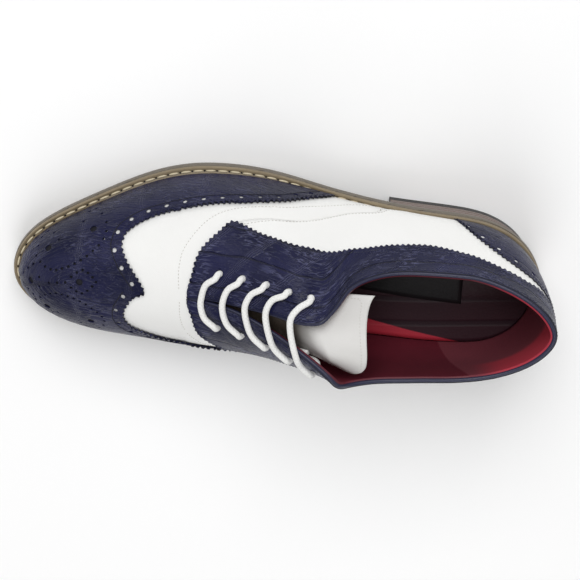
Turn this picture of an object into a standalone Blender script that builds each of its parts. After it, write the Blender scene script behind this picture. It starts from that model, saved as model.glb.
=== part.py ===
"""A right-foot wingtip spectator shoe: stitched sole, hollow upper, overlays, tongue and laces.

The last is described in its own terms: u runs from the back of the heel to the toe, w to the
outer side of the foot and z up. `along` runs round the sole from the toe (0) over the outer
side to the heel (1) and back over the inner side (2). `up` runs from the sole (0) to the
ridge, throat edge or topline (1). Lengths are in metres.
"""
import bmesh
import bpy
import math
import numpy as np
from mathutils import Matrix, Vector

MM = 0.001

# Sole
SOLE_LENGTH = 300 * MM
SOLE_BREADTH = 104 * MM
HEEL_HEIGHT = 20 * MM
TOE_SPRING = 12 * MM
HEEL_LENGTH = 88 * MM
TOP_PIECE_THICKNESS = 5 * MM
HEEL_TAPER = 1.8 * MM
LIFT_COUNT = 3
LIFT_GROOVE = 0.5 * MM
OUTSOLE_THICKNESS = 4.5 * MM
EDGE_ROUND = 0.7 * MM
WELT_THICKNESS = 2.8 * MM
WELT_WIDTH = 13 * MM
WELT_MARGIN = 5.2 * MM
SEAM_GAP = 0.3 * MM

# Upper
UPPER_HEIGHT = 84 * MM
UPPER_WALL = 2.2 * MM
OVERLAY_CLEARANCE = 0.4 * MM
OVERLAY_THICKNESS = 1.0 * MM
INSOLE_THICKNESS = 3.0 * MM
INSOLE_CLEARANCE = 0.8 * MM
TONGUE_THICKNESS = 2.0 * MM
LACE_DIAMETER = 3.5 * MM
LACE_GAP = 0.8 * MM
LACE_HOLE_DIAMETER = 5.2 * MM

# Sole outline, toe to heel over the outer side and back: share of length, share of breadth
SOLE_OUTLINE = (
    (1.000, 0.000), (0.992, 0.096), (0.972, 0.183), (0.938, 0.262), (0.882, 0.350),
    (0.817, 0.438), (0.739, 0.530), (0.660, 0.580), (0.588, 0.582), (0.507, 0.558),
    (0.425, 0.512), (0.343, 0.475), (0.261, 0.447), (0.180, 0.425), (0.105, 0.385),
    (0.043, 0.280), (0.010, 0.140), (0.000, 0.000),
    (0.010, -0.125), (0.041, -0.245), (0.095, -0.325), (0.163, -0.340), (0.245, -0.330),
    (0.327, -0.325), (0.408, -0.340), (0.490, -0.375), (0.569, -0.408), (0.634, -0.420),
    (0.693, -0.418), (0.752, -0.402), (0.817, -0.376), (0.882, -0.334), (0.938, -0.262),
    (0.974, -0.178), (0.993, -0.096),
)
HEEL_BACK_ROW = 17

# Underside of the outsole: share of length, share of heel height
ARCH_PROFILE = (
    (0.00, 1.00), (0.15, 0.99), (0.25, 0.93), (0.33, 0.74), (0.40, 0.49),
    (0.47, 0.24), (0.54, 0.06), (0.59, 0.00), (0.71, 0.00),
)
FOREFOOT_FLAT = (0.59, 0.71)
SPRING_CURVE = 1.7

# Upper, a row for each section round the sole. The top edge is in shares of sole length,
# sole breadth and upper height; the other columns shape the wall between sole and top edge.
SECTION_COLUMNS = ("inset", "top_u", "top_w", "top_z", "lean", "rise", "reach", "drop")
UPPER_SECTIONS = (
    (0.00, 1.00, 0.890, 0.020, 0.398, 0.035, 0.55, 0.150, 0.00),
    (0.05, 1.00, 0.884, 0.019, 0.403, 0.035, 0.55, 0.150, 0.00),
    (0.10, 1.00, 0.870, 0.017, 0.420, 0.035, 0.55, 0.170, 0.00),
    (0.15, 1.00, 0.845, 0.015, 0.452, 0.035, 0.55, 0.205, 0.00),
    (0.20, 1.00, 0.812, 0.015, 0.492, 0.035, 0.55, 0.240, 0.00),
    (0.26, 1.00, 0.762, 0.022, 0.548, 0.035, 0.55, 0.270, 0.00),
    (0.33, 1.00, 0.692, 0.036, 0.650, 0.030, 0.55, 0.290, 0.00),
    (0.40, 0.95, 0.612, 0.060, 0.780, 0.030, 0.55, 0.270, 0.00),
    (0.47, 0.85, 0.522, 0.060, 0.930, 0.035, 0.52, 0.220, 0.03),
    (0.51, 0.75, 0.466, 0.052, 1.015, 0.045, 0.50, 0.180, 0.08),
    (0.54, 0.65, 0.434, 0.065, 1.020, 0.050, 0.45, 0.140, 0.18),
    (0.57, 0.55, 0.410, 0.115, 0.945, 0.050, 0.42, 0.105, 0.26),
    (0.61, 0.45, 0.378, 0.200, 0.780, 0.050, 0.40, 0.070, 0.32),
    (0.66, 0.40, 0.325, 0.248, 0.640, 0.050, 0.38, 0.045, 0.34),
    (0.72, 0.42, 0.250, 0.265, 0.575, 0.050, 0.36, 0.030, 0.34),
    (0.79, 0.50, 0.165, 0.268, 0.598, 0.045, 0.36, 0.022, 0.34),
    (0.85, 0.60, 0.100, 0.236, 0.665, 0.045, 0.36, 0.022, 0.34),
    (0.91, 0.70, 0.045, 0.160, 0.722, 0.050, 0.36, 0.022, 0.34),
    (1.00, 0.80, 0.006, 0.000, 0.760, 0.055, 0.36, 0.025, 0.34),
    (1.09, 0.70, 0.045, -0.160, 0.740, 0.055, 0.36, 0.022, 0.34),
    (1.15, 0.55, 0.100, -0.238, 0.722, 0.055, 0.36, 0.025, 0.34),
    (1.21, 0.40, 0.165, -0.276, 0.718, 0.060, 0.36, 0.030, 0.34),
    (1.28, 0.30, 0.250, -0.285, 0.745, 0.080, 0.36, 0.035, 0.34),
    (1.34, 0.30, 0.325, -0.295, 0.800, 0.090, 0.36, 0.035, 0.34),
    (1.39, 0.35, 0.370, -0.305, 0.880, 0.090, 0.38, 0.040, 0.32),
    (1.43, 0.42, 0.394, -0.280, 0.985, 0.085, 0.40, 0.060, 0.28),
    (1.46, 0.52, 0.412, -0.225, 1.025, 0.075, 0.42, 0.090, 0.22),
    (1.49, 0.65, 0.448, -0.150, 1.010, 0.060, 0.45, 0.130, 0.14),
    (1.53, 0.80, 0.512, -0.055, 0.925, 0.045, 0.50, 0.180, 0.05),
    (1.60, 0.95, 0.612, 0.028, 0.780, 0.035, 0.55, 0.235, 0.00),
    (1.67, 1.00, 0.692, 0.036, 0.650, 0.030, 0.55, 0.250, 0.00),
    (1.74, 1.00, 0.762, 0.022, 0.548, 0.030, 0.55, 0.235, 0.00),
    (1.80, 1.00, 0.812, 0.015, 0.492, 0.035, 0.55, 0.210, 0.00),
    (1.85, 1.00, 0.845, 0.015, 0.452, 0.035, 0.55, 0.185, 0.00),
    (1.90, 1.00, 0.870, 0.017, 0.420, 0.035, 0.55, 0.165, 0.00),
    (1.95, 1.00, 0.884, 0.019, 0.403, 0.035, 0.55, 0.150, 0.00),
)
LOOP = 2.0
THROAT_FRONT = 0.33
TOP_EDGE_FADE = 0.03
RIDGE_SLOPES = (-1.5, 0.5)

# Back edge of the wing cap, from the sole up to its peak: up, along on the outer, inner side
WING_EDGE = (
    (0.00, 0.585, 0.585), (0.18, 0.521, 0.521), (0.28, 0.453, 0.453), (0.36, 0.381, 0.400),
    (0.435, 0.319, 0.345), (0.50, 0.274, 0.300), (0.56, 0.253, 0.272), (0.65, 0.245, 0.248),
    (0.76, 0.252, 0.238), (0.88, 0.266, 0.246), (0.96, 0.277, 0.262), (1.00, 0.275, 0.275),
)

# Lower edge of the facing and collar band: distance along from the toe, up
FACING_EDGE = (
    (0.352, 0.960), (0.361, 0.855), (0.371, 0.710), (0.383, 0.620), (0.400, 0.540),
    (0.419, 0.460), (0.456, 0.497), (0.486, 0.505), (0.522, 0.507), (0.571, 0.560),
    (0.636, 0.645), (0.685, 0.625), (0.735, 0.597), (0.792, 0.655), (0.840, 0.712),
    (0.885, 0.722), (0.930, 0.670), (1.000, 0.650),
)

# Upper edge of the heel counter: distance along from the toe, up
COUNTER_EDGE = (
    (0.779, 0.020), (0.802, 0.305), (0.836, 0.495), (0.876, 0.585), (0.917, 0.600), (1.000, 0.605),
)

# Lace holes from the toe to the topline: distance along from the toe, up
LACE_HOLES = ((0.400, 0.820), (0.432, 0.815), (0.464, 0.810), (0.492, 0.805), (0.522, 0.810))

# Tongue: distance along, depth below the upper's face as a share of its seat under the laces
TONGUE_STATIONS = (
    (0.300, 0.40), (0.325, 0.40), (0.350, 0.52), (0.375, 0.80), (0.400, 1.00), (0.430, 1.00),
    (0.460, 1.00), (0.485, 1.00), (0.510, 1.00), (0.530, 1.00),
)
TONGUE_UPS = (0.72, 0.79, 0.86, 0.93, 0.98)
TONGUE_TIP_RUN = 0.062
TONGUE_TIP_RISE = 0.010
TONGUE_TIP_STEPS = 3


def slopes(x, y):
    """Slopes that keep a curve through the rows from overshooting them."""
    step = np.diff(x)
    secant = np.diff(y) / step
    found = np.zeros(len(x))
    inner = (secant[:-1] * step[1:] + secant[1:] * step[:-1]) / (step[1:] + step[:-1])
    limit = 3 * np.minimum(abs(secant[:-1]), abs(secant[1:]))
    turns = secant[:-1] * secant[1:] <= 0
    found[1:-1] = np.where(turns, 0, np.clip(inner, -limit, limit))
    return found


def hermite(share, step, y0, y1, m0, m1):
    """A cubic between two rows from their values and slopes."""
    s = share
    return ((1 + 2 * s) * (1 - s) ** 2 * y0 + s * (1 - s) ** 2 * step * m0
            + s ** 2 * (3 - 2 * s) * y1 + s ** 2 * (s - 1) * step * m1)


def steady_curve(x, y, at, loop=None):
    """Read a curve through the rows that never overshoots them."""
    x = np.asarray(x, float)
    y = np.asarray(y, float)
    at = np.asarray(at, float)
    if loop:
        at = np.mod(at, loop)
        x = np.concatenate([x - loop, x, x + loop])
        y = np.concatenate([y, y, y])
    m = slopes(x, y)
    i = np.clip(np.searchsorted(x, at, side="right") - 1, 0, len(x) - 2)
    step = x[i + 1] - x[i]
    return hermite(np.clip((at - x[i]) / step, 0, 1), step, y[i], y[i + 1], m[i], m[i + 1])


def round_curve(x, y, at, loop):
    """Read a closed cubic spline through the rows."""
    x = np.asarray(x, float)
    y = np.asarray(y, float)
    count = len(x)
    step = np.append(np.diff(x), x[0] + loop - x[-1])
    rise = np.roll(y, -1) - y
    left = np.zeros((count, count))
    right = np.zeros(count)
    for k in range(count):
        before = (k - 1) % count
        after = (k + 1) % count
        left[k, before] += 1 / step[before]
        left[k, k] += 2 / step[before] + 2 / step[k]
        left[k, after] += 1 / step[k]
        right[k] = 3 * (rise[before] / step[before] ** 2 + rise[k] / step[k] ** 2)
    m = np.linalg.solve(left, right)
    at = np.mod(np.asarray(at, float) - x[0], loop) + x[0]
    i = np.clip(np.searchsorted(x, at, side="right") - 1, 0, count - 1)
    j = (i + 1) % count
    return hermite((at - x[i]) / step[i], step[i], y[i], y[j], m[i], m[j])


def outline_marks():
    """The outline's points and how far along each lies."""
    points = np.array(SOLE_OUTLINE) * (SOLE_LENGTH, SOLE_BREADTH)
    chord = np.linalg.norm(np.roll(points, -1, axis=0) - points, axis=1)
    reach = np.concatenate([[0], np.cumsum(chord)])
    half = reach[HEEL_BACK_ROW]
    marks = np.where(reach <= half, reach / half, 1 + (reach - half) / (reach[-1] - half))
    return points, marks[:-1]


OUTLINE_POINTS, OUTLINE_MARKS = outline_marks()
SECTION_ROWS = np.array(UPPER_SECTIONS)


def sole_edge(along, inset=0.0):
    """The sole's outline, moved inwards by `inset`."""
    along = np.asarray(along, float)
    edge = [round_curve(OUTLINE_MARKS, OUTLINE_POINTS[:, k], along, LOOP) for k in (0, 1)]
    return np.stack(edge, -1) - edge_normal(along) * np.asarray(inset, float)[..., None]


def edge_normal(along):
    """The outward direction of the outline."""
    near = 1e-3
    ends = [
        np.stack([round_curve(OUTLINE_MARKS, OUTLINE_POINTS[:, k], along + d, LOOP) for k in (0, 1)], -1)
        for d in (-near, near)
    ]
    run = ends[1] - ends[0]
    normal = np.stack([run[..., 1], -run[..., 0]], -1)
    return normal / np.linalg.norm(normal, axis=-1, keepdims=True)


def bottom_height(u):
    """Height of the outsole's underside over the floor."""
    share = np.asarray(u) / SOLE_LENGTH
    arch = steady_curve(*np.array(ARCH_PROFILE).T, share) * HEEL_HEIGHT
    beyond = np.clip((share - FOREFOOT_FLAT[1]) / (1 - FOREFOOT_FLAT[1]), 0, None)
    return arch + TOE_SPRING * beyond ** SPRING_CURVE


def welt_height(u):
    """Height of the welt's underside."""
    return bottom_height(u) + OUTSOLE_THICKNESS + SEAM_GAP


def feather_height(u):
    """Height where the upper meets the welt."""
    return welt_height(u) + WELT_THICKNESS + SEAM_GAP


def column(name, along, smooth=False):
    """A column of the upper's table, read anywhere along."""
    values = SECTION_ROWS[:, 1 + SECTION_COLUMNS.index(name)]
    read = round_curve if smooth else steady_curve
    return read(SECTION_ROWS[:, 0], values, along, LOOP)


def from_toe(along):
    """Distance along from the toe on either side."""
    along = np.mod(along, LOOP)
    return np.minimum(along, LOOP - along)


def closed_at(along):
    """Whether the upper is closed over the foot there, ahead of the throat."""
    return from_toe(along) <= THROAT_FRONT + 1e-6


def top_point(along):
    """The upper's top edge. Both sides share it ahead of the throat."""
    along = np.where(closed_at(along), from_toe(along), np.mod(along, LOOP))
    u = column("top_u", along) * SOLE_LENGTH
    w = column("top_w", along) * SOLE_BREADTH
    z = feather_height(u) + column("top_z", along) * UPPER_HEIGHT
    return np.stack([u, w, z], -1)


def upper_point(along, up):
    """A point of the upper's outer face, on a cubic from the sole to the top edge."""
    along, up = np.broadcast_arrays(np.asarray(along, float), np.asarray(up, float))
    up = up[..., None]
    out = edge_normal(along)
    foot_flat = sole_edge(along, column("inset", along, True) * WELT_MARGIN)
    foot = np.concatenate([foot_flat, feather_height(foot_flat[..., :1])], -1)
    top = top_point(along)
    height = top[..., 2] - foot[..., 2]
    near = 0.03
    ridge = top_point(np.maximum(from_toe(along) - near, 0)) - top_point(from_toe(along) + near)
    slope = np.clip(ridge[..., 2] / np.where(abs(ridge[..., 0]) < MM, MM, ridge[..., 0]), *RIDGE_SLOPES)
    drop = np.clip(column("drop", along, True), 0, None)
    first = foot.copy()
    first[..., :2] += out * (column("lean", along, True) * SOLE_BREADTH)[..., None]
    first[..., 2] += column("rise", along, True) * height
    reach = column("reach", along, True) * SOLE_BREADTH
    second = top.copy()
    second[..., :2] += out * reach[..., None]
    second[..., 2] += reach * out[..., 0] * slope * np.clip(1 - drop / TOP_EDGE_FADE, 0, 1) - drop * height
    return ((1 - up) ** 3 * foot + 3 * up * (1 - up) ** 2 * first
            + 3 * up ** 2 * (1 - up) * second + up ** 3 * top)


def upper_normal(along, up):
    """The outward direction of the upper's face."""
    near = 2e-3
    up = np.clip(up, 0.01, 0.97)
    run = upper_point(along + near, up) - upper_point(along - near, up)
    rise = upper_point(along, up + near) - upper_point(along, up - near)
    normal = np.cross(run, rise)
    return normal / np.linalg.norm(normal, axis=-1, keepdims=True)


def upper_offset(along, up, distance):
    """The upper's face moved outwards, with one direction for both sides of the ridge."""
    along, up = np.broadcast_arrays(np.asarray(along, float), np.asarray(up, float))
    normal = upper_normal(along, up)
    other = upper_normal(LOOP - along, up)
    shared = (up > 0.999) & closed_at(along)
    both = normal + other
    both = both / np.linalg.norm(both, axis=-1, keepdims=True)
    normal = np.where(shared[..., None], both, normal)
    return upper_point(along, up) + normal * np.asarray(distance, float)[..., None]


HEEL_CENTRE = HEEL_LENGTH / 2


def to_world(points):
    """Last coordinates to world coordinates: toe towards -Y, outer side towards -X."""
    points = np.asarray(points, float)
    return np.stack([-points[..., 1], HEEL_CENTRE - points[..., 0], points[..., 2]], -1)


def make_material(name, colour, roughness, metallic=0.0):
    material = bpy.data.materials.new(name)
    material.use_nodes = True
    shader = material.node_tree.nodes["Principled BSDF"]
    shader.inputs["Base Color"].default_value = (*colour, 1.0)
    shader.inputs["Roughness"].default_value = roughness
    shader.inputs["Metallic"].default_value = metallic
    return material


def add_object(name, bm, material):
    """Close the mesh, turn its faces outwards and put it in the scene."""
    bmesh.ops.remove_doubles(bm, verts=bm.verts, dist=1e-6)
    bmesh.ops.dissolve_degenerate(bm, edges=bm.edges, dist=1e-7)
    bmesh.ops.recalc_face_normals(bm, faces=bm.faces)
    if bm.calc_volume(signed=True) < 0:
        bmesh.ops.reverse_faces(bm, faces=bm.faces)
    mesh = bpy.data.meshes.new(name)
    bm.to_mesh(mesh)
    bm.free()
    mesh.shade_smooth()
    mesh.set_sharp_from_angle(angle=math.radians(40))
    mesh.materials.append(material)
    item = bpy.data.objects.new(name, mesh)
    bpy.context.scene.collection.objects.link(item)
    return item


def add_loft(name, sections, material, wrap=False, skip=None, caps=None, turn=None):
    """Join closed sections in order. `skip` tells which faces between sections stay open, and
    from point `turn` on each section runs back, so that both walls share their diagonals."""
    bm = bmesh.new()
    sections = to_world(sections)
    count = len(sections)
    points = len(sections[0])
    verts = [[bm.verts.new(point) for point in section] for section in sections]
    for i in range(count if wrap else count - 1):
        nxt = (i + 1) % count
        for j in range(points):
            if skip and skip(i, j):
                continue
            k = (j + 1) % points
            corners = (verts[i][j], verts[i][k], verts[nxt][k], verts[nxt][j])
            if turn is None:
                bm.faces.new(corners)
            elif j < turn:
                bm.faces.new((corners[0], corners[1], corners[2]))
                bm.faces.new((corners[0], corners[2], corners[3]))
            else:
                bm.faces.new((corners[0], corners[1], corners[3]))
                bm.faces.new((corners[1], corners[2], corners[3]))
    if caps == "start":
        bm.faces.new(verts[0])
    if caps == "strip" and not wrap:
        for section in (verts[0], verts[-1]):
            for j in range(points // 2 - 1):
                bm.faces.new((section[j], section[j + 1], section[points - 2 - j], section[points - 1 - j]))
    return add_object(name, bm, material)


def add_shell(name, along, up, inner, outer, material, wrap=False):
    """A leather piece between two offsets of the upper's face, on a grid of along and up."""
    faces = [upper_offset(along, up, distance) for distance in (outer, inner)]
    sections = np.concatenate([faces[0], faces[1][:, ::-1]], axis=1)
    rows = up.shape[1]
    at_ridge = (up[:, -1] > 0.999) & closed_at(along[:, -1])

    def skip(i, j):
        return j == rows - 1 and at_ridge[i] and at_ridge[(i + 1) % len(at_ridge)]

    return add_loft(name, sections, material, wrap=wrap, skip=skip, caps="strip", turn=rows)


def cross_loop(levels, ends, across):
    """One cross-section of a layer: its lower face, inner edge, upper face and outer edge."""
    spread = np.linspace(0, 1, across + 1)[:, None]
    sides = [[sole_edge(along, inset) for along in ends] for inset, height in levels]
    loop = []
    for (outer, inner), (inset, height) in ((sides[0], levels[0]), (sides[-1][::-1], levels[-1])):
        row = outer * (1 - spread) + inner * spread
        loop.append(np.column_stack([row, height(row[:, 0])]))
    edges = [
        np.array([[*side[which], height(side[which][0])] for side, (inset, height) in between])
        for which, between in (
            (1, list(zip(sides, levels))[1:-1]),
            (0, list(zip(sides, levels))[-2:0:-1]),
        )
    ]
    return np.concatenate([loop[0], edges[0], loop[1], edges[1]])


def add_layer(name, levels, stations, across, material, cap_start=False):
    """A layer of the sole between two faces, from one end of the stations to the other."""
    sections = np.array([cross_loop(levels, ends, across) for ends in stations])
    return add_loft(name, sections, material, caps="start" if cap_start else None)


def add_ring(name, levels, stations, material):
    """A closed ring that follows the outline, from its levels of inset and height."""
    sections = []
    for along in stations:
        rows = [sole_edge(along, inset) for inset, height in levels]
        sections.append([[*row, height(row[0])] for row, (inset, height) in zip(rows, levels)])
    return add_loft(name, np.array(sections), material, wrap=True)


def along_at(u, inner_side=False):
    """How far along the outline's heel half reaches u."""
    marks = np.linspace(0.5, 1.0, 400)
    marks = LOOP - marks if inner_side else marks
    edge = sole_edge(marks)[:, 0]
    order = np.argsort(edge)
    return float(np.interp(u, edge[order], marks[order]))


SOLE_STEPS = 32
SOLE_ACROSS = 2
SIDE_STATIONS = np.concatenate([
    np.linspace(0, THROAT_FRONT, 13),
    np.linspace(THROAT_FRONT, 0.64, 15)[1:],
    np.linspace(0.64, 1.0, 11)[1:],
])
ROUND_STATIONS = np.concatenate([SIDE_STATIONS, LOOP - SIDE_STATIONS[-2:0:-1]])


def make_sole(colours):
    ends = [(share, LOOP - share) for share in (1 - np.cos(np.linspace(0, np.pi, SOLE_STEPS + 1))) / 2]
    outsole = (
        (EDGE_ROUND, bottom_height),
        (0.0, lambda u: bottom_height(u) + EDGE_ROUND),
        (0.0, lambda u: bottom_height(u) + OUTSOLE_THICKNESS - EDGE_ROUND),
        (EDGE_ROUND, lambda u: bottom_height(u) + OUTSOLE_THICKNESS),
    )
    add_layer("outsole", outsole, ends, SOLE_ACROSS, colours["outsole"])
    welt = (
        (WELT_WIDTH, welt_height),
        (EDGE_ROUND, welt_height),
        (EDGE_ROUND / 2, lambda u: welt_height(u) + WELT_THICKNESS / 2),
        (1.5 * EDGE_ROUND, lambda u: welt_height(u) + WELT_THICKNESS),
        (WELT_WIDTH, lambda u: welt_height(u) + WELT_THICKNESS),
    )
    add_ring("welt", welt, ROUND_STATIONS, colours["welt"])

    def insole_inset(along):
        return column("inset", along, True) * WELT_MARGIN + UPPER_WALL + INSOLE_CLEARANCE

    sections = []
    for outer, inner in ends:
        spread = np.linspace(0, 1, SOLE_ACROSS + 1)[:, None]
        sides = [sole_edge(along, insole_inset(along)) for along in (outer, inner)]
        row = sides[0] * (1 - spread) + sides[1] * spread
        low = np.column_stack([row, feather_height(row[:, 0])])
        high = np.column_stack([row, feather_height(row[:, 0]) + INSOLE_THICKNESS])[::-1]
        sections.append(np.concatenate([low, high]))
    add_loft("insole", np.array(sections), colours["lining"], caps=None)


def make_heel(colours):
    breast = (along_at(HEEL_LENGTH), along_at(HEEL_LENGTH, True))
    shares = np.sin(np.linspace(np.pi / 2, 0, 17))
    ends = [tuple(1 + (end - 1) * share for end in breast) for share in shares]
    block_low = TOP_PIECE_THICKNESS + SEAM_GAP

    def level_height(share):
        return lambda u: block_low + (bottom_height(u) - SEAM_GAP - block_low) * share

    def side_inset(share):
        return EDGE_ROUND + HEEL_TAPER * (1 - share)

    block = [(side_inset(0), level_height(0.0))]
    for lift in range(1, LIFT_COUNT):
        share = lift / LIFT_COUNT
        groove = LIFT_GROOVE / (HEEL_HEIGHT - block_low)
        block.append((side_inset(share), level_height(share - groove)))
        block.append((side_inset(share) + LIFT_GROOVE, level_height(share)))
        block.append((side_inset(share), level_height(share + groove)))
    block.append((side_inset(1), level_height(1.0)))
    add_layer("heel_block", block, ends, SOLE_ACROSS, colours["stack"], cap_start=True)

    taper = EDGE_ROUND + HEEL_TAPER
    top_piece = (
        (taper + EDGE_ROUND, lambda u: 0 * u),
        (taper, lambda u: 0 * u + EDGE_ROUND),
        (taper, lambda u: 0 * u + TOP_PIECE_THICKNESS),
    )
    add_layer("heel_top_piece", top_piece, ends, SOLE_ACROSS, colours["rubber"], cap_start=True)


UPPER_LEVELS = np.array([0.0, 0.13, 0.28, 0.43, 0.58, 0.73, 0.88, 1.0])
WING_LEVELS = np.sort(np.concatenate([UPPER_LEVELS, [0.07, 0.20, 0.35, 0.39, 0.50, 0.65]]))
OVERLAY_INNER = OVERLAY_CLEARANCE
OVERLAY_OUTER = OVERLAY_CLEARANCE + OVERLAY_THICKNESS
OVERLAY_FOOT = 0.015


def make_upper(colours):
    along, up = np.meshgrid(ROUND_STATIONS, UPPER_LEVELS, indexing="ij")
    return add_shell("upper", along, up, -UPPER_WALL, 0.0, colours["white"], wrap=True)


def both_sides(stations):
    """Stations of one side and the same ones of the other, through the toe or the heel."""
    if stations[0] == 0:
        return np.concatenate([-stations[:0:-1], stations])
    return np.concatenate([stations, LOOP - stations[-2::-1]])


def make_wing_cap(colours):
    rows = np.array(WING_EDGE)
    end = rows[:, 1:].max()
    stations = both_sides(np.append(SIDE_STATIONS[SIDE_STATIONS < end - 0.01], end))
    along, up = np.meshgrid(stations, WING_LEVELS, indexing="ij")
    outer = steady_curve(rows[:, 0], rows[:, 1], up)
    inner = steady_curve(rows[:, 0], rows[:, 2], up)
    along = np.clip(along, -inner, outer)
    up = np.maximum(up, OVERLAY_FOOT)
    return add_shell("wing_cap", along, up, OVERLAY_INNER, OVERLAY_OUTER, colours["navy"])


def edge_grid(edge_rows, extra):
    """The upper's grid behind the row table's first station, and the edge's height on it."""
    rows = np.array(edge_rows)
    start = rows[0, 0]
    side = np.unique(np.concatenate([[start], extra, SIDE_STATIONS[SIDE_STATIONS > start + 0.004]]))
    along, up = np.meshgrid(both_sides(side), UPPER_LEVELS, indexing="ij")
    return along, up, steady_curve(rows[:, 0], rows[:, 1], from_toe(along))


def make_facing(colours):
    along, up, edge = edge_grid(FACING_EDGE, [row[0] for row in FACING_EDGE[1:6]])
    up = np.maximum(up, edge)
    return add_shell("facing", along, up, OVERLAY_INNER, OVERLAY_OUTER, colours["navy"])


def make_counter(colours):
    along, up, edge = edge_grid(COUNTER_EDGE, np.linspace(COUNTER_EDGE[0][0], COUNTER_EDGE[3][0], 8))
    up = np.clip(up, OVERLAY_FOOT, edge)
    return add_shell("heel_counter", along, up, OVERLAY_INNER, OVERLAY_OUTER, colours["navy"])


LACE_SEAT = UPPER_WALL + LACE_GAP + LACE_DIAMETER + LACE_GAP
LACE_OVER = OVERLAY_OUTER + LACE_GAP + LACE_DIAMETER / 2
LACE_UNDER = -UPPER_WALL - LACE_GAP - LACE_DIAMETER / 2


def tongue_row(along, depth):
    """Points across the tongue, from outer to inner side, on a smooth crown."""
    ups = np.array(TONGUE_UPS)
    outer = upper_offset(np.full(len(ups), along), ups, -depth)
    inner = upper_offset(np.full(len(ups), LOOP - along), ups, -depth)[::-1]
    points = np.concatenate([outer, inner])
    reach = np.concatenate([[0], np.cumsum(np.linalg.norm(np.diff(points, axis=0), axis=1))])
    share = reach / reach[-1]
    at = np.linspace(0, 1, 10)
    return np.stack([np.polyval(np.polyfit(share, points[:, k], 4), at) for k in range(3)], -1)


def make_tongue(colours):
    sections = []
    for along, seat in TONGUE_STATIONS:
        depth = LACE_SEAT * seat
        top = tongue_row(along, depth)
        under = tongue_row(along, depth + TONGUE_THICKNESS)
        sections.append(np.concatenate([top, under[::-1]]))
    last = sections[-1]
    centre = last.mean(axis=0)
    for step in range(1, TONGUE_TIP_STEPS + 1):
        share = step / TONGUE_TIP_STEPS
        move = np.array([-TONGUE_TIP_RUN * SOLE_LENGTH, 0, TONGUE_TIP_RISE * SOLE_LENGTH]) * share
        narrow = last.copy()
        narrow[:, 1] = centre[1] + (last[:, 1] - centre[1]) * (1 - 0.06 * share)
        sections.append(narrow + move)
    return add_loft("tongue", np.array(sections), colours["white"], caps="strip")


def between(low, high, at, start, end):
    return ((end - at) * low + (at - start) * high) / (end - start)


def smooth_route(keys, step):
    """Points on a centripetal Catmull-Rom curve through the keys."""
    keys = np.array(keys)
    keys = np.concatenate([[2 * keys[0] - keys[1]], keys, [2 * keys[-1] - keys[-2]]])
    route = []
    for k in range(1, len(keys) - 2):
        p = keys[k - 1:k + 3]
        t = np.concatenate([[0], np.cumsum(np.linalg.norm(np.diff(p, axis=0), axis=1) ** 0.5)])
        count = max(1, int(round(np.linalg.norm(p[2] - p[1]) / step)))
        for at in t[1] + (t[2] - t[1]) * np.arange(count) / count:
            first = [between(p[n], p[n + 1], at, t[n], t[n + 1]) for n in range(3)]
            second = [between(first[n], first[n + 1], at, t[n], t[n + 2]) for n in range(2)]
            route.append(between(*second, at, t[1], t[2]))
    route.append(keys[-2])
    return np.array(route)


LACE_BEND = LACE_GAP + LACE_DIAMETER / 2
ALONG_RUN = SOLE_LENGTH * 1.13
UP_RUN = UPPER_HEIGHT * 0.85
EDGE_UP = 0.985


def hole_place(number, inner_side):
    along, up = LACE_HOLES[number - 1]
    return (LOOP - along if inner_side else along), up


def bend_keys(place, towards, start, sign):
    """Keys of the bend out of a hole, from its axis to a run over or under the leather."""
    heading = np.array([(towards[0] - place[0]) * ALONG_RUN, (towards[1] - place[1]) * UP_RUN])
    heading = heading / np.linalg.norm(heading) / (ALONG_RUN, UP_RUN) * LACE_BEND
    turn = math.sqrt(0.5)
    return [
        upper_offset(place[0] + heading[0] * out, place[1] + heading[1] * out, start + sign * LACE_BEND * rise)
        for out, rise in ((0, 0), (1 - turn, turn), (1, 1))
    ]


def edge_keys(along):
    """A key on the rounded turn over one edge of the throat, above the chord across it."""
    ends = [upper_offset(a, EDGE_UP, OVERLAY_OUTER) for a in (along, LOOP - along)]
    chord = (ends[1] - ends[0]) / np.linalg.norm(ends[1] - ends[0])
    above = np.array([0, 0, 1]) - chord * chord[2]
    above = above / np.linalg.norm(above)
    across = upper_normal(np.array(along), np.array(EDGE_UP)) + above
    return [ends[0] + across / np.linalg.norm(across) * LACE_BEND]


def bar_keys(number, from_inner):
    """Keys of a bar: up through one hole, over both edges of the throat, down the other."""
    def half(inner_side):
        along, up = hole_place(number, inner_side)
        low = upper_offset(along, up, -UPPER_WALL / 2)
        middle = upper_offset(along, (up + EDGE_UP) / 2, LACE_OVER)
        return [low] + bend_keys((along, up), (along, 1.0), OVERLAY_OUTER, 1) + [middle] + edge_keys(along)
    return half(from_inner) + half(not from_inner)[::-1]


def run_keys(start, end, inner_side, aside):
    """Keys of a run under the facing from one hole to another, set aside from the holes."""
    places = [hole_place(number, inner_side) for number in (start, end)]
    resting = [
        (between(places[0][0], places[1][0], share, 0, 1), between(places[0][1], places[1][1], share, 0, 1) + aside)
        for share in (0.35, 0.65)
    ]
    first = bend_keys(places[0], resting[0], -UPPER_WALL, -1)
    last = bend_keys(places[1], resting[1], -UPPER_WALL, -1)[::-1]
    return first + [upper_offset(*place, LACE_UNDER) for place in resting] + last


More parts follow.
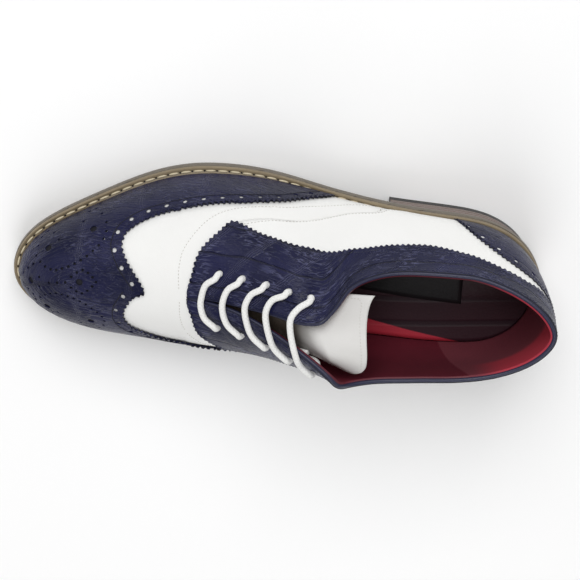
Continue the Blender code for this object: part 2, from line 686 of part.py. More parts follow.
def make_lace(colours):
    """One lace through all the holes, laced in straight bars, both ends hidden inside."""
    away = -0.10
    near = 0.075
    keys = bar_keys(5, False) + run_keys(5, 3, True, away)
    keys += bar_keys(3, True) + run_keys(3, 1, False, away)
    keys += bar_keys(1, False) + run_keys(1, 2, True, 0.0)
    keys += bar_keys(2, True) + run_keys(2, 4, False, near)
    keys += bar_keys(4, False) + run_keys(4, 5, True, near)[:4]
    route = to_world(smooth_route(keys, 1.2 * LACE_DIAMETER))
    curve = bpy.data.curves.new("lace", "CURVE")
    curve.dimensions = "3D"
    curve.bevel_depth = LACE_DIAMETER / 2
    curve.bevel_resolution = 2
    curve.use_fill_caps = True
    spline = curve.splines.new("POLY")
    spline.points.add(len(route) - 1)
    for point, place in zip(spline.points, route):
        point.co = (*place, 1.0)
    curve.materials.append(colours["lace"])
    item = bpy.data.objects.new("lace", curve)
    bpy.context.scene.collection.objects.link(item)
    return item


def punch_holes(items):
    """Cut the lace holes through the facing and the upper behind it."""
    bm = bmesh.new()
    for number in range(1, len(LACE_HOLES) + 1):
        for inner_side in (False, True):
            along, up = hole_place(number, inner_side)
            ends = to_world(upper_offset(np.full(2, along), np.full(2, up), np.array([-2, 2]) * UPPER_WALL))
            axis = Vector(ends[1] - ends[0])
            place = Matrix.Translation(Vector(ends.mean(axis=0))) @ axis.to_track_quat("Z", "Y").to_matrix().to_4x4()
            bmesh.ops.create_cone(
                bm, cap_ends=True, segments=12, radius1=LACE_HOLE_DIAMETER / 2,
                radius2=LACE_HOLE_DIAMETER / 2, depth=axis.length, matrix=place)
    mesh = bpy.data.meshes.new("lace_punch")
    bm.to_mesh(mesh)
    bm.free()
    punch = bpy.data.objects.new("lace_punch", mesh)
    punch.hide_render = True
    punch.display_type = "WIRE"
    bpy.context.scene.collection.objects.link(punch)
    for item in items:
        cut = item.modifiers.new("lace holes", "BOOLEAN")
        cut.operation = "DIFFERENCE"
        cut.object = punch


def main():
    for item in list(bpy.data.objects):
        bpy.data.objects.remove(item, do_unlink=True)
    colours = {
        "navy": make_material("navy embossed leather", (0.025, 0.030, 0.085), 0.35),
        "white": make_material("white leather", (0.88, 0.88, 0.86), 0.40),
        "lining": make_material("red lining", (0.25, 0.02, 0.035), 0.60),
        "welt": make_material("welt leather", (0.26, 0.20, 0.13), 0.55),
        "outsole": make_material("outsole leather", (0.19, 0.15, 0.11), 0.50),
        "stack": make_material("heel stack", (0.20, 0.13, 0.09), 0.50),
        "rubber": make_material("heel rubber", (0.02, 0.02, 0.02), 0.70),
        "lace": make_material("white cord", (0.90, 0.90, 0.88), 0.75),
    }
    make_sole(colours)
    make_heel(colours)
    upper = make_upper(colours)
    make_wing_cap(colours)
    facing = make_facing(colours)
    make_counter(colours)
    make_tongue(colours)
    make_lace(colours)
    punch_holes([upper, facing])


main()
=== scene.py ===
import math

import bmesh
import bpy
import numpy as np
from mathutils import Matrix, Vector
from mathutils.bvhtree import BVHTree


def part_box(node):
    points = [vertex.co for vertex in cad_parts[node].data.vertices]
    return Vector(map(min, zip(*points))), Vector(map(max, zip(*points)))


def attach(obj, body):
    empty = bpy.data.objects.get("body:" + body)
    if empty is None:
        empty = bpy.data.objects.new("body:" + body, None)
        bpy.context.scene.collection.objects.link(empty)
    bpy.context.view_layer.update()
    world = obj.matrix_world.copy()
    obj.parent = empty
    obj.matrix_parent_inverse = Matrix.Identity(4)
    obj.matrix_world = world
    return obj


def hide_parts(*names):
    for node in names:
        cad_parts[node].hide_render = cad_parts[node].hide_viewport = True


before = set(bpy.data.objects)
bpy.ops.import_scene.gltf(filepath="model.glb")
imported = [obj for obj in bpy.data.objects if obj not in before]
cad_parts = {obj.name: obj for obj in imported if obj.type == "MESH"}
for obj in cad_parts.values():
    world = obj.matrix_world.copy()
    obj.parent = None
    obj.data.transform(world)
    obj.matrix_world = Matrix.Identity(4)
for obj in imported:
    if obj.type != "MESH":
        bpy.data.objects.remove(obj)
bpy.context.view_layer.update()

bl_info = {
    "name": "Spectator shoe",
    "version": (1, 0, 0),
    "blender": (4, 5, 0),
    "location": "3D View > Sidebar > Shoe",
    "description": "Dresses the shoe's solids with leather, punching, stitches and laces",
    "category": "Object",
}

MM = 0.001

# Sizes that the solids were made with
SOLE_LOW, SOLE_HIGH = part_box("outsole")
SOLE_LENGTH = SOLE_HIGH.y - SOLE_LOW.y
HEEL_CENTRE = SOLE_HIGH.y
SOLE_BREADTH = 104 * MM
HEEL_HEIGHT = 20 * MM
HEEL_LENGTH = 2 * HEEL_CENTRE
TOE_SPRING = 12 * MM
TOP_PIECE_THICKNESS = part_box("heel_top_piece")[1].z
HEEL_TAPER = 1.8 * MM
OUTSOLE_THICKNESS = 4.5 * MM
EDGE_ROUND = 0.7 * MM
WELT_THICKNESS = 2.8 * MM
WELT_WIDTH = 13 * MM
WELT_MARGIN = 5.2 * MM
SEAM_GAP = 0.3 * MM
UPPER_HEIGHT = 84 * MM
UPPER_WALL = 2.2 * MM
OVERLAY_OUTER = 1.4 * MM
INSOLE_THICKNESS = 3.0 * MM
INSOLE_CLEARANCE = 0.8 * MM
TONGUE_THICKNESS = 2.0 * MM
LACE_DIAMETER = 3.5 * MM
LACE_GAP = 0.8 * MM

# Sole outline, toe to heel over the outer side and back: share of length, share of breadth
SOLE_OUTLINE = (
    (1.000, 0.000), (0.992, 0.096), (0.972, 0.183), (0.938, 0.262), (0.882, 0.350),
    (0.817, 0.438), (0.739, 0.530), (0.660, 0.580), (0.588, 0.582), (0.507, 0.558),
    (0.425, 0.512), (0.343, 0.475), (0.261, 0.447), (0.180, 0.425), (0.105, 0.385),
    (0.043, 0.280), (0.010, 0.140), (0.000, 0.000),
    (0.010, -0.125), (0.041, -0.245), (0.095, -0.325), (0.163, -0.340), (0.245, -0.330),
    (0.327, -0.325), (0.408, -0.340), (0.490, -0.375), (0.569, -0.408), (0.634, -0.420),
    (0.693, -0.418), (0.752, -0.402), (0.817, -0.376), (0.882, -0.334), (0.938, -0.262),
    (0.974, -0.178), (0.993, -0.096),
)
HEEL_BACK_ROW = 17

# Underside of the outsole: share of length, share of heel height
ARCH_PROFILE = (
    (0.00, 1.00), (0.15, 0.99), (0.25, 0.93), (0.33, 0.74), (0.40, 0.49),
    (0.47, 0.24), (0.54, 0.06), (0.59, 0.00), (0.71, 0.00),
)
FOREFOOT_FLAT = (0.59, 0.71)
SPRING_CURVE = 1.7

# Upper, a row for each section round the sole, from the toe (0) over the outer side to the
# heel (1) and back over the inner side (2)
SECTION_COLUMNS = ("inset", "top_u", "top_w", "top_z", "lean", "rise", "reach", "drop")
UPPER_SECTIONS = (
    (0.00, 1.00, 0.890, 0.020, 0.398, 0.035, 0.55, 0.150, 0.00),
    (0.05, 1.00, 0.884, 0.019, 0.403, 0.035, 0.55, 0.150, 0.00),
    (0.10, 1.00, 0.870, 0.017, 0.420, 0.035, 0.55, 0.170, 0.00),
    (0.15, 1.00, 0.845, 0.015, 0.452, 0.035, 0.55, 0.205, 0.00),
    (0.20, 1.00, 0.812, 0.015, 0.492, 0.035, 0.55, 0.240, 0.00),
    (0.26, 1.00, 0.762, 0.022, 0.548, 0.035, 0.55, 0.270, 0.00),
    (0.33, 1.00, 0.692, 0.036, 0.650, 0.030, 0.55, 0.290, 0.00),
    (0.40, 0.95, 0.612, 0.060, 0.780, 0.030, 0.55, 0.270, 0.00),
    (0.47, 0.85, 0.522, 0.060, 0.930, 0.035, 0.52, 0.220, 0.03),
    (0.51, 0.75, 0.466, 0.052, 1.015, 0.045, 0.50, 0.180, 0.08),
    (0.54, 0.65, 0.434, 0.065, 1.020, 0.050, 0.45, 0.140, 0.18),
    (0.57, 0.55, 0.410, 0.115, 0.945, 0.050, 0.42, 0.105, 0.26),
    (0.61, 0.45, 0.378, 0.200, 0.780, 0.050, 0.40, 0.070, 0.32),
    (0.66, 0.40, 0.325, 0.248, 0.640, 0.050, 0.38, 0.045, 0.34),
    (0.72, 0.42, 0.250, 0.265, 0.575, 0.050, 0.36, 0.030, 0.34),
    (0.79, 0.50, 0.165, 0.268, 0.598, 0.045, 0.36, 0.022, 0.34),
    (0.85, 0.60, 0.100, 0.236, 0.665, 0.045, 0.36, 0.022, 0.34),
    (0.91, 0.70, 0.045, 0.160, 0.722, 0.050, 0.36, 0.022, 0.34),
    (1.00, 0.80, 0.006, 0.000, 0.760, 0.055, 0.36, 0.025, 0.34),
    (1.09, 0.70, 0.045, -0.160, 0.740, 0.055, 0.36, 0.022, 0.34),
    (1.15, 0.55, 0.100, -0.238, 0.722, 0.055, 0.36, 0.025, 0.34),
    (1.21, 0.40, 0.165, -0.276, 0.718, 0.060, 0.36, 0.030, 0.34),
    (1.28, 0.30, 0.250, -0.285, 0.745, 0.080, 0.36, 0.035, 0.34),
    (1.34, 0.30, 0.325, -0.295, 0.800, 0.090, 0.36, 0.035, 0.34),
    (1.39, 0.35, 0.370, -0.305, 0.880, 0.090, 0.38, 0.040, 0.32),
    (1.43, 0.42, 0.394, -0.280, 0.985, 0.085, 0.40, 0.060, 0.28),
    (1.46, 0.52, 0.412, -0.225, 1.025, 0.075, 0.42, 0.090, 0.22),
    (1.49, 0.65, 0.448, -0.150, 1.010, 0.060, 0.45, 0.130, 0.14),
    (1.53, 0.80, 0.512, -0.055, 0.925, 0.045, 0.50, 0.180, 0.05),
    (1.60, 0.95, 0.612, 0.028, 0.780, 0.035, 0.55, 0.235, 0.00),
    (1.67, 1.00, 0.692, 0.036, 0.650, 0.030, 0.55, 0.250, 0.00),
    (1.74, 1.00, 0.762, 0.022, 0.548, 0.030, 0.55, 0.235, 0.00),
    (1.80, 1.00, 0.812, 0.015, 0.492, 0.035, 0.55, 0.210, 0.00),
    (1.85, 1.00, 0.845, 0.015, 0.452, 0.035, 0.55, 0.185, 0.00),
    (1.90, 1.00, 0.870, 0.017, 0.420, 0.035, 0.55, 0.165, 0.00),
    (1.95, 1.00, 0.884, 0.019, 0.403, 0.035, 0.55, 0.150, 0.00),
)
LOOP = 2.0
THROAT_FRONT = 0.352
TOP_EDGE_FADE = 0.03
RIDGE_SLOPES = (-1.5, 0.5)

# Back edge of the wing cap from the sole to its peak: up, distance along on the outer, inner side
WING_EDGE = (
    (0.00, 0.585, 0.585), (0.18, 0.521, 0.521), (0.28, 0.453, 0.456), (0.36, 0.381, 0.392),
    (0.435, 0.319, 0.340), (0.485, 0.281, 0.308), (0.52, 0.266, 0.290), (0.55, 0.256, 0.276),
    (0.605, 0.249, 0.258), (0.655, 0.246, 0.249), (0.72, 0.249, 0.241), (0.80, 0.256, 0.239),
    (0.875, 0.265, 0.245), (0.95, 0.273, 0.256), (1.00, 0.275, 0.275),
)

# Lower edge of the facing and collar band: distance along, up, distance along of the top edge
# that each place is joined to
FACING_EDGE = (
    (0.352, 0.965, 0.352), (0.361, 0.855, 0.362), (0.365, 0.775, 0.368), (0.371, 0.700, 0.375),
    (0.380, 0.640, 0.384), (0.395, 0.560, 0.398), (0.419, 0.460, 0.424), (0.456, 0.498, 0.456),
    (0.486, 0.505, 0.486), (0.522, 0.507, 0.522), (0.571, 0.560, 0.571), (0.636, 0.642, 0.636),
    (0.685, 0.625, 0.685), (0.735, 0.597, 0.735), (0.792, 0.655, 0.792), (0.840, 0.712, 0.840),
    (0.885, 0.722, 0.885), (0.930, 0.668, 0.930), (1.000, 0.650, 1.000),
)

# Upper edge of the heel counter: distance along, up, distance along at the sole
COUNTER_EDGE = (
    (0.779, 0.015, 0.779), (0.802, 0.305, 0.798), (0.836, 0.495, 0.828), (0.876, 0.588, 0.870),
    (0.917, 0.604, 0.917), (1.000, 0.610, 1.000),
)

# Front edge of the white quarter: up, distance along
QUARTER_EDGE = (
    (0.015, 0.695), (0.100, 0.664), (0.220, 0.638), (0.305, 0.560), (0.375, 0.476),
    (0.465, 0.421), (0.600, 0.410), (0.900, 0.430),
)

# Stitch line round the eyestay on the vamp: distance along, up
EYESTAY_LINE = (
    (0.338, 0.960), (0.341, 0.800), (0.351, 0.660), (0.383, 0.460), (0.426, 0.345),
    (0.511, 0.240), (0.591, 0.155), (0.654, 0.020),
)

# Lace holes from the toe to the topline: distance along, up
LACE_HOLES = ((0.400, 0.820), (0.432, 0.815), (0.464, 0.810), (0.492, 0.805), (0.522, 0.810))

# Tongue: distance along, depth below the upper's face as a share of its seat under the laces
TONGUE_STATIONS = (
    (0.300, 0.40), (0.325, 0.40), (0.350, 0.52), (0.375, 0.80), (0.400, 1.00), (0.430, 1.00),
    (0.460, 1.00), (0.485, 1.00), (0.510, 1.00), (0.530, 1.00),
)
TONGUE_UPS = (0.72, 0.79, 0.86, 0.93, 0.98)
TONGUE_TIP_RUN = 0.062
TONGUE_TIP_RISE = 0.010

# Punched toe pattern seen from above, half of it: length from the heel, distance off its axis
TOE_LARGE_HOLES = ((287.6, 0.0), (260.7, 0.0), (278.6, 16.4), (254.0, 25.6))
TOE_PIN_HOLES = (
    (294.0, 0.0), (291.8, 3.0), (289.2, 5.8), (286.4, 8.4), (285.0, 12.4), (284.4, 16.2), (282.6, 19.4),
    (279.4, 21.6), (275.8, 22.2), (273.0, 20.2), (282.8, 2.6), (277.4, 0.0), (273.0, 0.0), (268.6, 0.0),
    (282.6, 9.9), (279.8, 7.9), (276.7, 6.8), (273.6, 6.5), (270.4, 7.3), (267.0, 8.4), (263.6, 9.8),
    (260.2, 11.5), (256.8, 13.6), (253.6, 16.1), (250.4, 18.8), (247.8, 21.7), (246.6, 25.0),
    (247.0, 28.6), (249.6, 31.2), (253.2, 31.8), (256.9, 30.6), (259.8, 27.8), (265.2, 3.0),
    (262.2, 5.2), (259.0, 6.6), (256.0, 5.0), (253.4, 2.6), (251.4, 0.0),
)
TOE_AXIS_START = (294.0, -0.6)
TOE_AXIS_SLOPE = 0.13

# Soft creases: distance along and up of both ends, width and depth in mm
CREASES = (
    (0.300, 0.62, 0.345, 0.40, 5.0, -0.35),
    (0.330, 0.52, 0.390, 0.30, 6.0, -0.30),
    (1.690, 0.62, 1.640, 0.40, 5.0, -0.35),
    (0.560, 0.55, 0.640, 0.42, 7.0, -0.40),
    (0.600, 0.30, 0.720, 0.24, 8.0, -0.35),
    (1.440, 0.50, 1.360, 0.36, 8.0, -0.40),
    (0.530, 0.80, 0.560, 0.62, 6.0, -0.45),
    (0.700, 0.80, 0.780, 0.72, 6.0, 0.25),
)
CREASE_RUN = 340 * MM
CREASE_RISE = 95 * MM

# Stitches as length, width and height, and the gaps of the rows and holes inside their edges
NAVY_STITCH = (1.35 * MM, 0.45 * MM, 0.22 * MM)
WHITE_STITCH = (1.35 * MM, 0.42 * MM, 0.20 * MM)
TONGUE_STITCH = (1.05 * MM, 0.42 * MM, 0.2 * MM)
TONGUE_STITCH_PITCH = 1.7 * MM
STITCH_LIFT = 0.02 * MM
OVERLAY_STITCH_GAP = 2.6 * MM
WING_STITCH_GAP = 2.5 * MM
QUARTER_SEAM_GAP = 0.010
COUNTER_HOLE_GAP = 5.0 * MM
COUNTER_HOLE_PITCH = 11.5 * MM
WING_HOLE_GAP = 4.6 * MM
WING_HOLE_PITCH = 10.4 * MM
WING_LINE_GAP = 6.4 * MM
WING_LINE_RADIUS = 0.32 * MM
COLLAR_BEAD_RADIUS = 1.15 * MM

# Punches: radius of the lace holes in the upper and the facing, and how deep the small ones go
UPPER_LACE_HOLE = 2.3 * MM
FACING_LACE_HOLE = 2.15 * MM
SMALL_PUNCH = (0.15 * MM, 2.2 * MM)
PUNCH_SIDES = 14
PUNCH_SPACING = 0.3 * MM
MERGE_DISTANCE = 2e-5

# How far inside the edge a pinked edge's teeth fade out
TOOTH_FADE = 2.6 * MM

# Camera, as it was fitted to the photograph
IMAGE_SIZE = 580
FOCAL_PIXELS = 2106.9
SENSOR_WIDTH = 36.0
CAMERA_TARGET = (143.5 * MM, -1.1 * MM, 35.0 * MM)
CAMERA_DISTANCE = 1.185
CAMERA_AZIMUTH = math.radians(6.84)
CAMERA_ELEVATION = math.radians(68.11)
CAMERA_ROLL = math.radians(3.39)


def slopes(x, y):
    """Slopes that keep a curve through the rows from overshooting them."""
    step = np.diff(x)
    secant = np.diff(y) / step
    found = np.zeros(len(x))
    inner = (secant[:-1] * step[1:] + secant[1:] * step[:-1]) / (step[1:] + step[:-1])
    limit = 3 * np.minimum(abs(secant[:-1]), abs(secant[1:]))
    turns = secant[:-1] * secant[1:] <= 0
    found[1:-1] = np.where(turns, 0, np.clip(inner, -limit, limit))
    return found


def hermite(share, step, y0, y1, m0, m1):
    """A cubic between two rows from their values and slopes."""
    s = share
    return ((1 + 2 * s) * (1 - s) ** 2 * y0 + s * (1 - s) ** 2 * step * m0
            + s ** 2 * (3 - 2 * s) * y1 + s ** 2 * (s - 1) * step * m1)


def steady_curve(x, y, at, loop=None):
    """Read a curve through the rows that never overshoots them."""
    x = np.asarray(x, float)
    y = np.asarray(y, float)
    at = np.asarray(at, float)
    if loop:
        at = np.mod(at, loop)
        x = np.concatenate([x - loop, x, x + loop])
        y = np.concatenate([y, y, y])
    m = slopes(x, y)
    i = np.clip(np.searchsorted(x, at, side="right") - 1, 0, len(x) - 2)
    step = x[i + 1] - x[i]
    return hermite(np.clip((at - x[i]) / step, 0, 1), step, y[i], y[i + 1], m[i], m[i + 1])


def round_curve(x, y, at, loop):
    """Read a closed cubic spline through the rows."""
    x = np.asarray(x, float)
    y = np.asarray(y, float)
    count = len(x)
    step = np.append(np.diff(x), x[0] + loop - x[-1])
    rise = np.roll(y, -1) - y
    left = np.zeros((count, count))
    right = np.zeros(count)
    for k in range(count):
        before = (k - 1) % count
        after = (k + 1) % count
        left[k, before] += 1 / step[before]
        left[k, k] += 2 / step[before] + 2 / step[k]
        left[k, after] += 1 / step[k]
        right[k] = 3 * (rise[before] / step[before] ** 2 + rise[k] / step[k] ** 2)
    m = np.linalg.solve(left, right)
    at = np.mod(np.asarray(at, float) - x[0], loop) + x[0]
    i = np.clip(np.searchsorted(x, at, side="right") - 1, 0, count - 1)
    j = (i + 1) % count
    return hermite((at - x[i]) / step[i], step[i], y[i], y[j], m[i], m[j])


def outline_marks():
    """The outline's points and how far along each lies."""
    points = np.array(SOLE_OUTLINE) * (SOLE_LENGTH, SOLE_BREADTH)
    chord = np.linalg.norm(np.roll(points, -1, axis=0) - points, axis=1)
    reach = np.concatenate([[0], np.cumsum(chord)])
    half = reach[HEEL_BACK_ROW]
    marks = np.where(reach <= half, reach / half, 1 + (reach - half) / (reach[-1] - half))
    return points, marks[:-1]


OUTLINE_POINTS, OUTLINE_MARKS = outline_marks()
SECTION_ROWS = np.array(UPPER_SECTIONS)


def sole_edge(along, inset=0.0):
    """The sole's outline, moved inwards by `inset`."""
    along = np.asarray(along, float)
    edge = [round_curve(OUTLINE_MARKS, OUTLINE_POINTS[:, k], along, LOOP) for k in (0, 1)]
    return np.stack(edge, -1) - edge_normal(along) * np.asarray(inset, float)[..., None]


def edge_normal(along):
    """The outward direction of the outline."""
    near = 1e-3
    ends = [
        np.stack([round_curve(OUTLINE_MARKS, OUTLINE_POINTS[:, k], along + d, LOOP) for k in (0, 1)], -1)
        for d in (-near, near)
    ]
    run = ends[1] - ends[0]
    normal = np.stack([run[..., 1], -run[..., 0]], -1)
    return normal / np.linalg.norm(normal, axis=-1, keepdims=True)


def bottom_height(u):
    """Height of the outsole's underside over the floor."""
    share = np.asarray(u) / SOLE_LENGTH
    arch = steady_curve(*np.array(ARCH_PROFILE).T, share) * HEEL_HEIGHT
    beyond = np.clip((share - FOREFOOT_FLAT[1]) / (1 - FOREFOOT_FLAT[1]), 0, None)
    return arch + TOE_SPRING * beyond ** SPRING_CURVE


def welt_height(u):
    """Height of the welt's underside."""
    return bottom_height(u) + OUTSOLE_THICKNESS + SEAM_GAP


def feather_height(u):
    """Height where the upper meets the welt."""
    return welt_height(u) + WELT_THICKNESS + SEAM_GAP


def column(name, along, smooth=False):
    """A column of the upper's table, read anywhere along."""
    values = SECTION_ROWS[:, 1 + SECTION_COLUMNS.index(name)]
    read = round_curve if smooth else steady_curve
    return read(SECTION_ROWS[:, 0], values, along, LOOP)


def from_toe(along):
    """Distance along from the toe on either side."""
    along = np.mod(along, LOOP)
    return np.minimum(along, LOOP - along)


def closed_at(along):
    """Whether the upper is closed over the foot there, ahead of the throat."""
    return from_toe(along) <= THROAT_FRONT + 1e-6


def top_point(along):
    """The upper's top edge. Both sides share it ahead of the throat."""
    along = np.where(closed_at(along), from_toe(along), np.mod(along, LOOP))
    u = column("top_u", along) * SOLE_LENGTH
    w = column("top_w", along) * SOLE_BREADTH
    z = feather_height(u) + column("top_z", along) * UPPER_HEIGHT
    return np.stack([u, w, z], -1)


def upper_point(along, up):
    """A point of the upper's outer face, on a cubic from the sole to the top edge."""
    along, up = np.broadcast_arrays(np.asarray(along, float), np.asarray(up, float))
    up = up[..., None]
    out = edge_normal(along)
    foot_flat = sole_edge(along, column("inset", along, True) * WELT_MARGIN)
    foot = np.concatenate([foot_flat, feather_height(foot_flat[..., :1])], -1)
    top = top_point(along)
    height = top[..., 2] - foot[..., 2]
    near = 0.03
    ridge = top_point(np.maximum(from_toe(along) - near, 0)) - top_point(from_toe(along) + near)
    slope = np.clip(ridge[..., 2] / np.where(abs(ridge[..., 0]) < MM, MM, ridge[..., 0]), *RIDGE_SLOPES)
    drop = np.clip(column("drop", along, True), 0, None)
    first = foot.copy()
    first[..., :2] += out * (column("lean", along, True) * SOLE_BREADTH)[..., None]
    first[..., 2] += column("rise", along, True) * height
    reach = column("reach", along, True) * SOLE_BREADTH
    second = top.copy()
    second[..., :2] += out * reach[..., None]
    second[..., 2] += reach * out[..., 0] * slope * np.clip(1 - drop / TOP_EDGE_FADE, 0, 1) - drop * height
    return ((1 - up) ** 3 * foot + 3 * up * (1 - up) ** 2 * first
            + 3 * up ** 2 * (1 - up) * second + up ** 3 * top)


def upper_normal(along, up):
    """The outward direction of the upper's face."""
    near = 2e-3
    up = np.clip(up, 0.01, 0.97)
    run = upper_point(along + near, up) - upper_point(along - near, up)
    rise = upper_point(along, up + near) - upper_point(along, up - near)
    normal = np.cross(run, rise)
    return normal / np.linalg.norm(normal, axis=-1, keepdims=True)


def upper_offset(along, up, distance):
    """The upper's face moved outwards, with one direction for both sides of the ridge."""
    along, up = np.broadcast_arrays(np.asarray(along, float), np.asarray(up, float))
    normal = upper_normal(along, up)
    other = upper_normal(LOOP - along, up)
    shared = (up > 0.999) & closed_at(along)
    both = normal + other
    both = both / np.linalg.norm(both, axis=-1, keepdims=True)
    normal = np.where(shared[..., None], both, normal)
    return upper_point(along, up) + normal * np.asarray(distance, float)[..., None]


def crease_height(along, up):
    """How far the listed creases lift or sink the leather."""
    along, up = np.broadcast_arrays(np.asarray(along, float), np.asarray(up, float))
    place = np.stack([np.mod(along, LOOP) * CREASE_RUN, up * CREASE_RISE], -1)
    height = np.zeros(along.shape)
    for a0, t0, a1, t1, width, depth in CREASES:
        start = np.array([a0 * CREASE_RUN, t0 * CREASE_RISE])
        run = np.array([a1 * CREASE_RUN, t1 * CREASE_RISE]) - start
        share = np.clip(((place - start) @ run) / (run @ run), 0, 1)
        off = np.linalg.norm(place - start - share[..., None] * run, axis=-1)
        fade = np.sin(np.pi * np.clip(share, 0.05, 0.95))
        height += depth * MM * fade * np.exp(-(off / (width * MM)) ** 2)
    return height


def leather_point(along, up, distance):
    """A place on the creased leather, at a height above the upper's face."""
    return upper_offset(along, up, np.asarray(distance) + crease_height(along, up))


def to_world(points):
    """Last coordinates to world coordinates: toe towards -Y, outer side towards -X."""
    points = np.asarray(points, float)
    return np.stack([-points[..., 1], HEEL_CENTRE - points[..., 0], points[..., 2]], -1)


GIRTH_ALONG = np.linspace(0, LOOP, 201)
GIRTH_UP = np.linspace(0, 1, 41)


def girth_chart():
    """Distance over the leather down from the top edge, on a grid of along and up."""
    along, up = np.meshgrid(GIRTH_ALONG, GIRTH_UP, indexing="ij")
    points = upper_point(along, up)
    steps = np.linalg.norm(np.diff(points, axis=1), axis=2)
    below = np.concatenate([np.cumsum(steps[:, ::-1], axis=1)[:, ::-1], np.zeros((len(steps), 1))], axis=1)
    return below


GIRTH = girth_chart()


def leather_chart(along, up):
    """UV place of a point of the leather in metres: length from the heel, girth from the top."""
    along = np.clip(np.mod(along, LOOP), 0, LOOP - 1e-9)
    i = np.clip((along / LOOP * (len(GIRTH_ALONG) - 1)).astype(int), 0, len(GIRTH_ALONG) - 2)
    j = np.clip((up * (len(GIRTH_UP) - 1)).astype(int), 0, len(GIRTH_UP) - 2)
    s = along / LOOP * (len(GIRTH_ALONG) - 1) - i
    t = up * (len(GIRTH_UP) - 1) - j
    below = ((GIRTH[i, j] * (1 - s) + GIRTH[i + 1, j] * s) * (1 - t)
             + (GIRTH[i, j + 1] * (1 - s) + GIRTH[i + 1, j + 1] * s) * t)
    length = upper_point(along, up)[..., 0]
    return np.stack([length, np.where(along <= 1, below, -below)], -1)


# Meshes

def link(name, mesh, *materials):
    """Put a finished mesh in the scene."""
    for material in materials:
        mesh.materials.append(material)
    mesh.shade_smooth()
    item = bpy.data.objects.new(name, mesh)
    bpy.context.scene.collection.objects.link(item)
    return item


def grid_mesh(name, across, down, place, chart=None):
    """A grid whose points go where `place` puts them, with `chart` as its UV map."""
    bm = bmesh.new()
    bmesh.ops.create_grid(bm, x_segments=across, y_segments=down, size=0.5)
    mesh = bpy.data.meshes.new(name)
    bm.to_mesh(mesh)
    bm.free()
    flat = np.empty(len(mesh.vertices) * 3)
    mesh.vertices.foreach_get("co", flat)
    share = np.clip(flat.reshape(-1, 3)[:, :2] + 0.5, 0, 1)
    points = place(share[:, 0], share[:, 1])
    mesh.vertices.foreach_set("co", points.astype(np.float32).ravel())
    uv = share if chart is None else chart(share[:, 0], share[:, 1])
    layer = mesh.uv_layers.new(name="UVMap")
    corners = np.empty(len(mesh.loops), int)
    mesh.loops.foreach_get("vertex_index", corners)
    layer.data.foreach_set("uv", uv[corners].astype(np.float32).ravel())
    bm = bmesh.new()
    bm.from_mesh(mesh)
    bmesh.ops.remove_doubles(bm, verts=bm.verts, dist=MERGE_DISTANCE)
    bmesh.ops.recalc_face_normals(bm, faces=bm.faces)
    bm.to_mesh(mesh)
    bm.free()
    mesh.update()
    return mesh


def seal(mesh, fill=True):
    """Close a mesh's open ends where asked, and turn its faces outwards."""
    bm = bmesh.new()
    bm.from_mesh(mesh)
    if fill:
        bmesh.ops.holes_fill(bm, edges=[e for e in bm.edges if e.is_boundary], sides=0)
        bmesh.ops.recalc_face_normals(bm, faces=bm.faces)
    if bm.calc_volume(signed=True) < 0:
        bmesh.ops.reverse_faces(bm, faces=bm.faces)
    bm.to_mesh(mesh)
    bm.free()
    mesh.update()
    return mesh


def run_along(points):
    """Distance run along a line at each of its points."""
    return np.concatenate([[0], np.cumsum(np.linalg.norm(np.diff(points, axis=0), axis=1))])


def outward(mesh, along, up, distance):
    """Turn the faces so that the one at a known place looks outwards."""
    here = Vector(to_world(upper_offset(along, up, distance)).tolist())
    there = Vector(to_world(upper_offset(along, up, distance + MM)).tolist())
    tree = BVHTree.FromPolygons([v.co for v in mesh.vertices], [p.vertices for p in mesh.polygons])
    normal = tree.find_nearest(here)[1]
    if normal.dot(there - here) < 0:
        mesh.flip_normals()


def thicken(item, thickness, rim=0, inner=0):
    """Give a sheet its wall, inwards from the face that was made."""
    wall = item.modifiers.new("wall", "SOLIDIFY")
    wall.thickness = thickness
    wall.offset = -1
    wall.material_offset = inner
    wall.material_offset_rim = rim
    return item


def settle(item):
    """Make an object's modifiers part of its mesh."""
    graph = bpy.context.evaluated_depsgraph_get()
    made = bpy.data.meshes.new_from_object(item.evaluated_get(graph), depsgraph=graph)
    old = item.data
    item.modifiers.clear()
    item.data = made
    bpy.data.meshes.remove(old)
    return item


def punch(item, cutter_mesh, folded=False):
    """Cut the holes of a punch through an object, which may fold onto itself."""
    tool = bpy.data.objects.new("punch", cutter_mesh)
    bpy.context.scene.collection.objects.link(tool)
    cut = item.modifiers.new("holes", "BOOLEAN")
    cut.operation = "DIFFERENCE"
    cut.solver = "EXACT"
    cut.use_self = folded
    cut.object = tool
    settle(item)
    bpy.data.objects.remove(tool, do_unlink=True)
    bpy.data.meshes.remove(cutter_mesh)
    return item


def frame_at(here, there, heading=None):
    """A matrix at `here` whose Z looks at `there` and whose X follows `heading`."""
    z = (Vector(there) - Vector(here)).normalized()
    x = Vector(heading) if heading is not None else z.orthogonal()
    x = (x - z * x.dot(z)).normalized()
    y = z.cross(x)
    turn = Matrix((x, y, z)).transposed().to_4x4()
    return Matrix.Translation(Vector(here)) @ turn


def punch_mesh(name, places, low=-4 * MM, high=4 * MM):
    """Round punches at places on the leather, between two heights: distance along, up, radius."""
    bm = bmesh.new()
    made = []
    for along, up, radius in places:
        ends = to_world(upper_offset(np.full(2, along), np.full(2, up), np.array([low, high])))
        if any(np.linalg.norm(ends[1] - other) < radius + reach + PUNCH_SPACING for other, reach in made):
            continue
        made.append((ends[1], radius))
        place = frame_at(ends[0], ends[1])
        place.translation = Vector(ends.mean(axis=0))
        bmesh.ops.create_cone(bm, cap_ends=True, segments=PUNCH_SIDES, radius1=radius, radius2=radius,
                              depth=high - low, matrix=place)
    mesh = bpy.data.meshes.new(name)
    bm.to_mesh(mesh)
    bm.free()
    return mesh


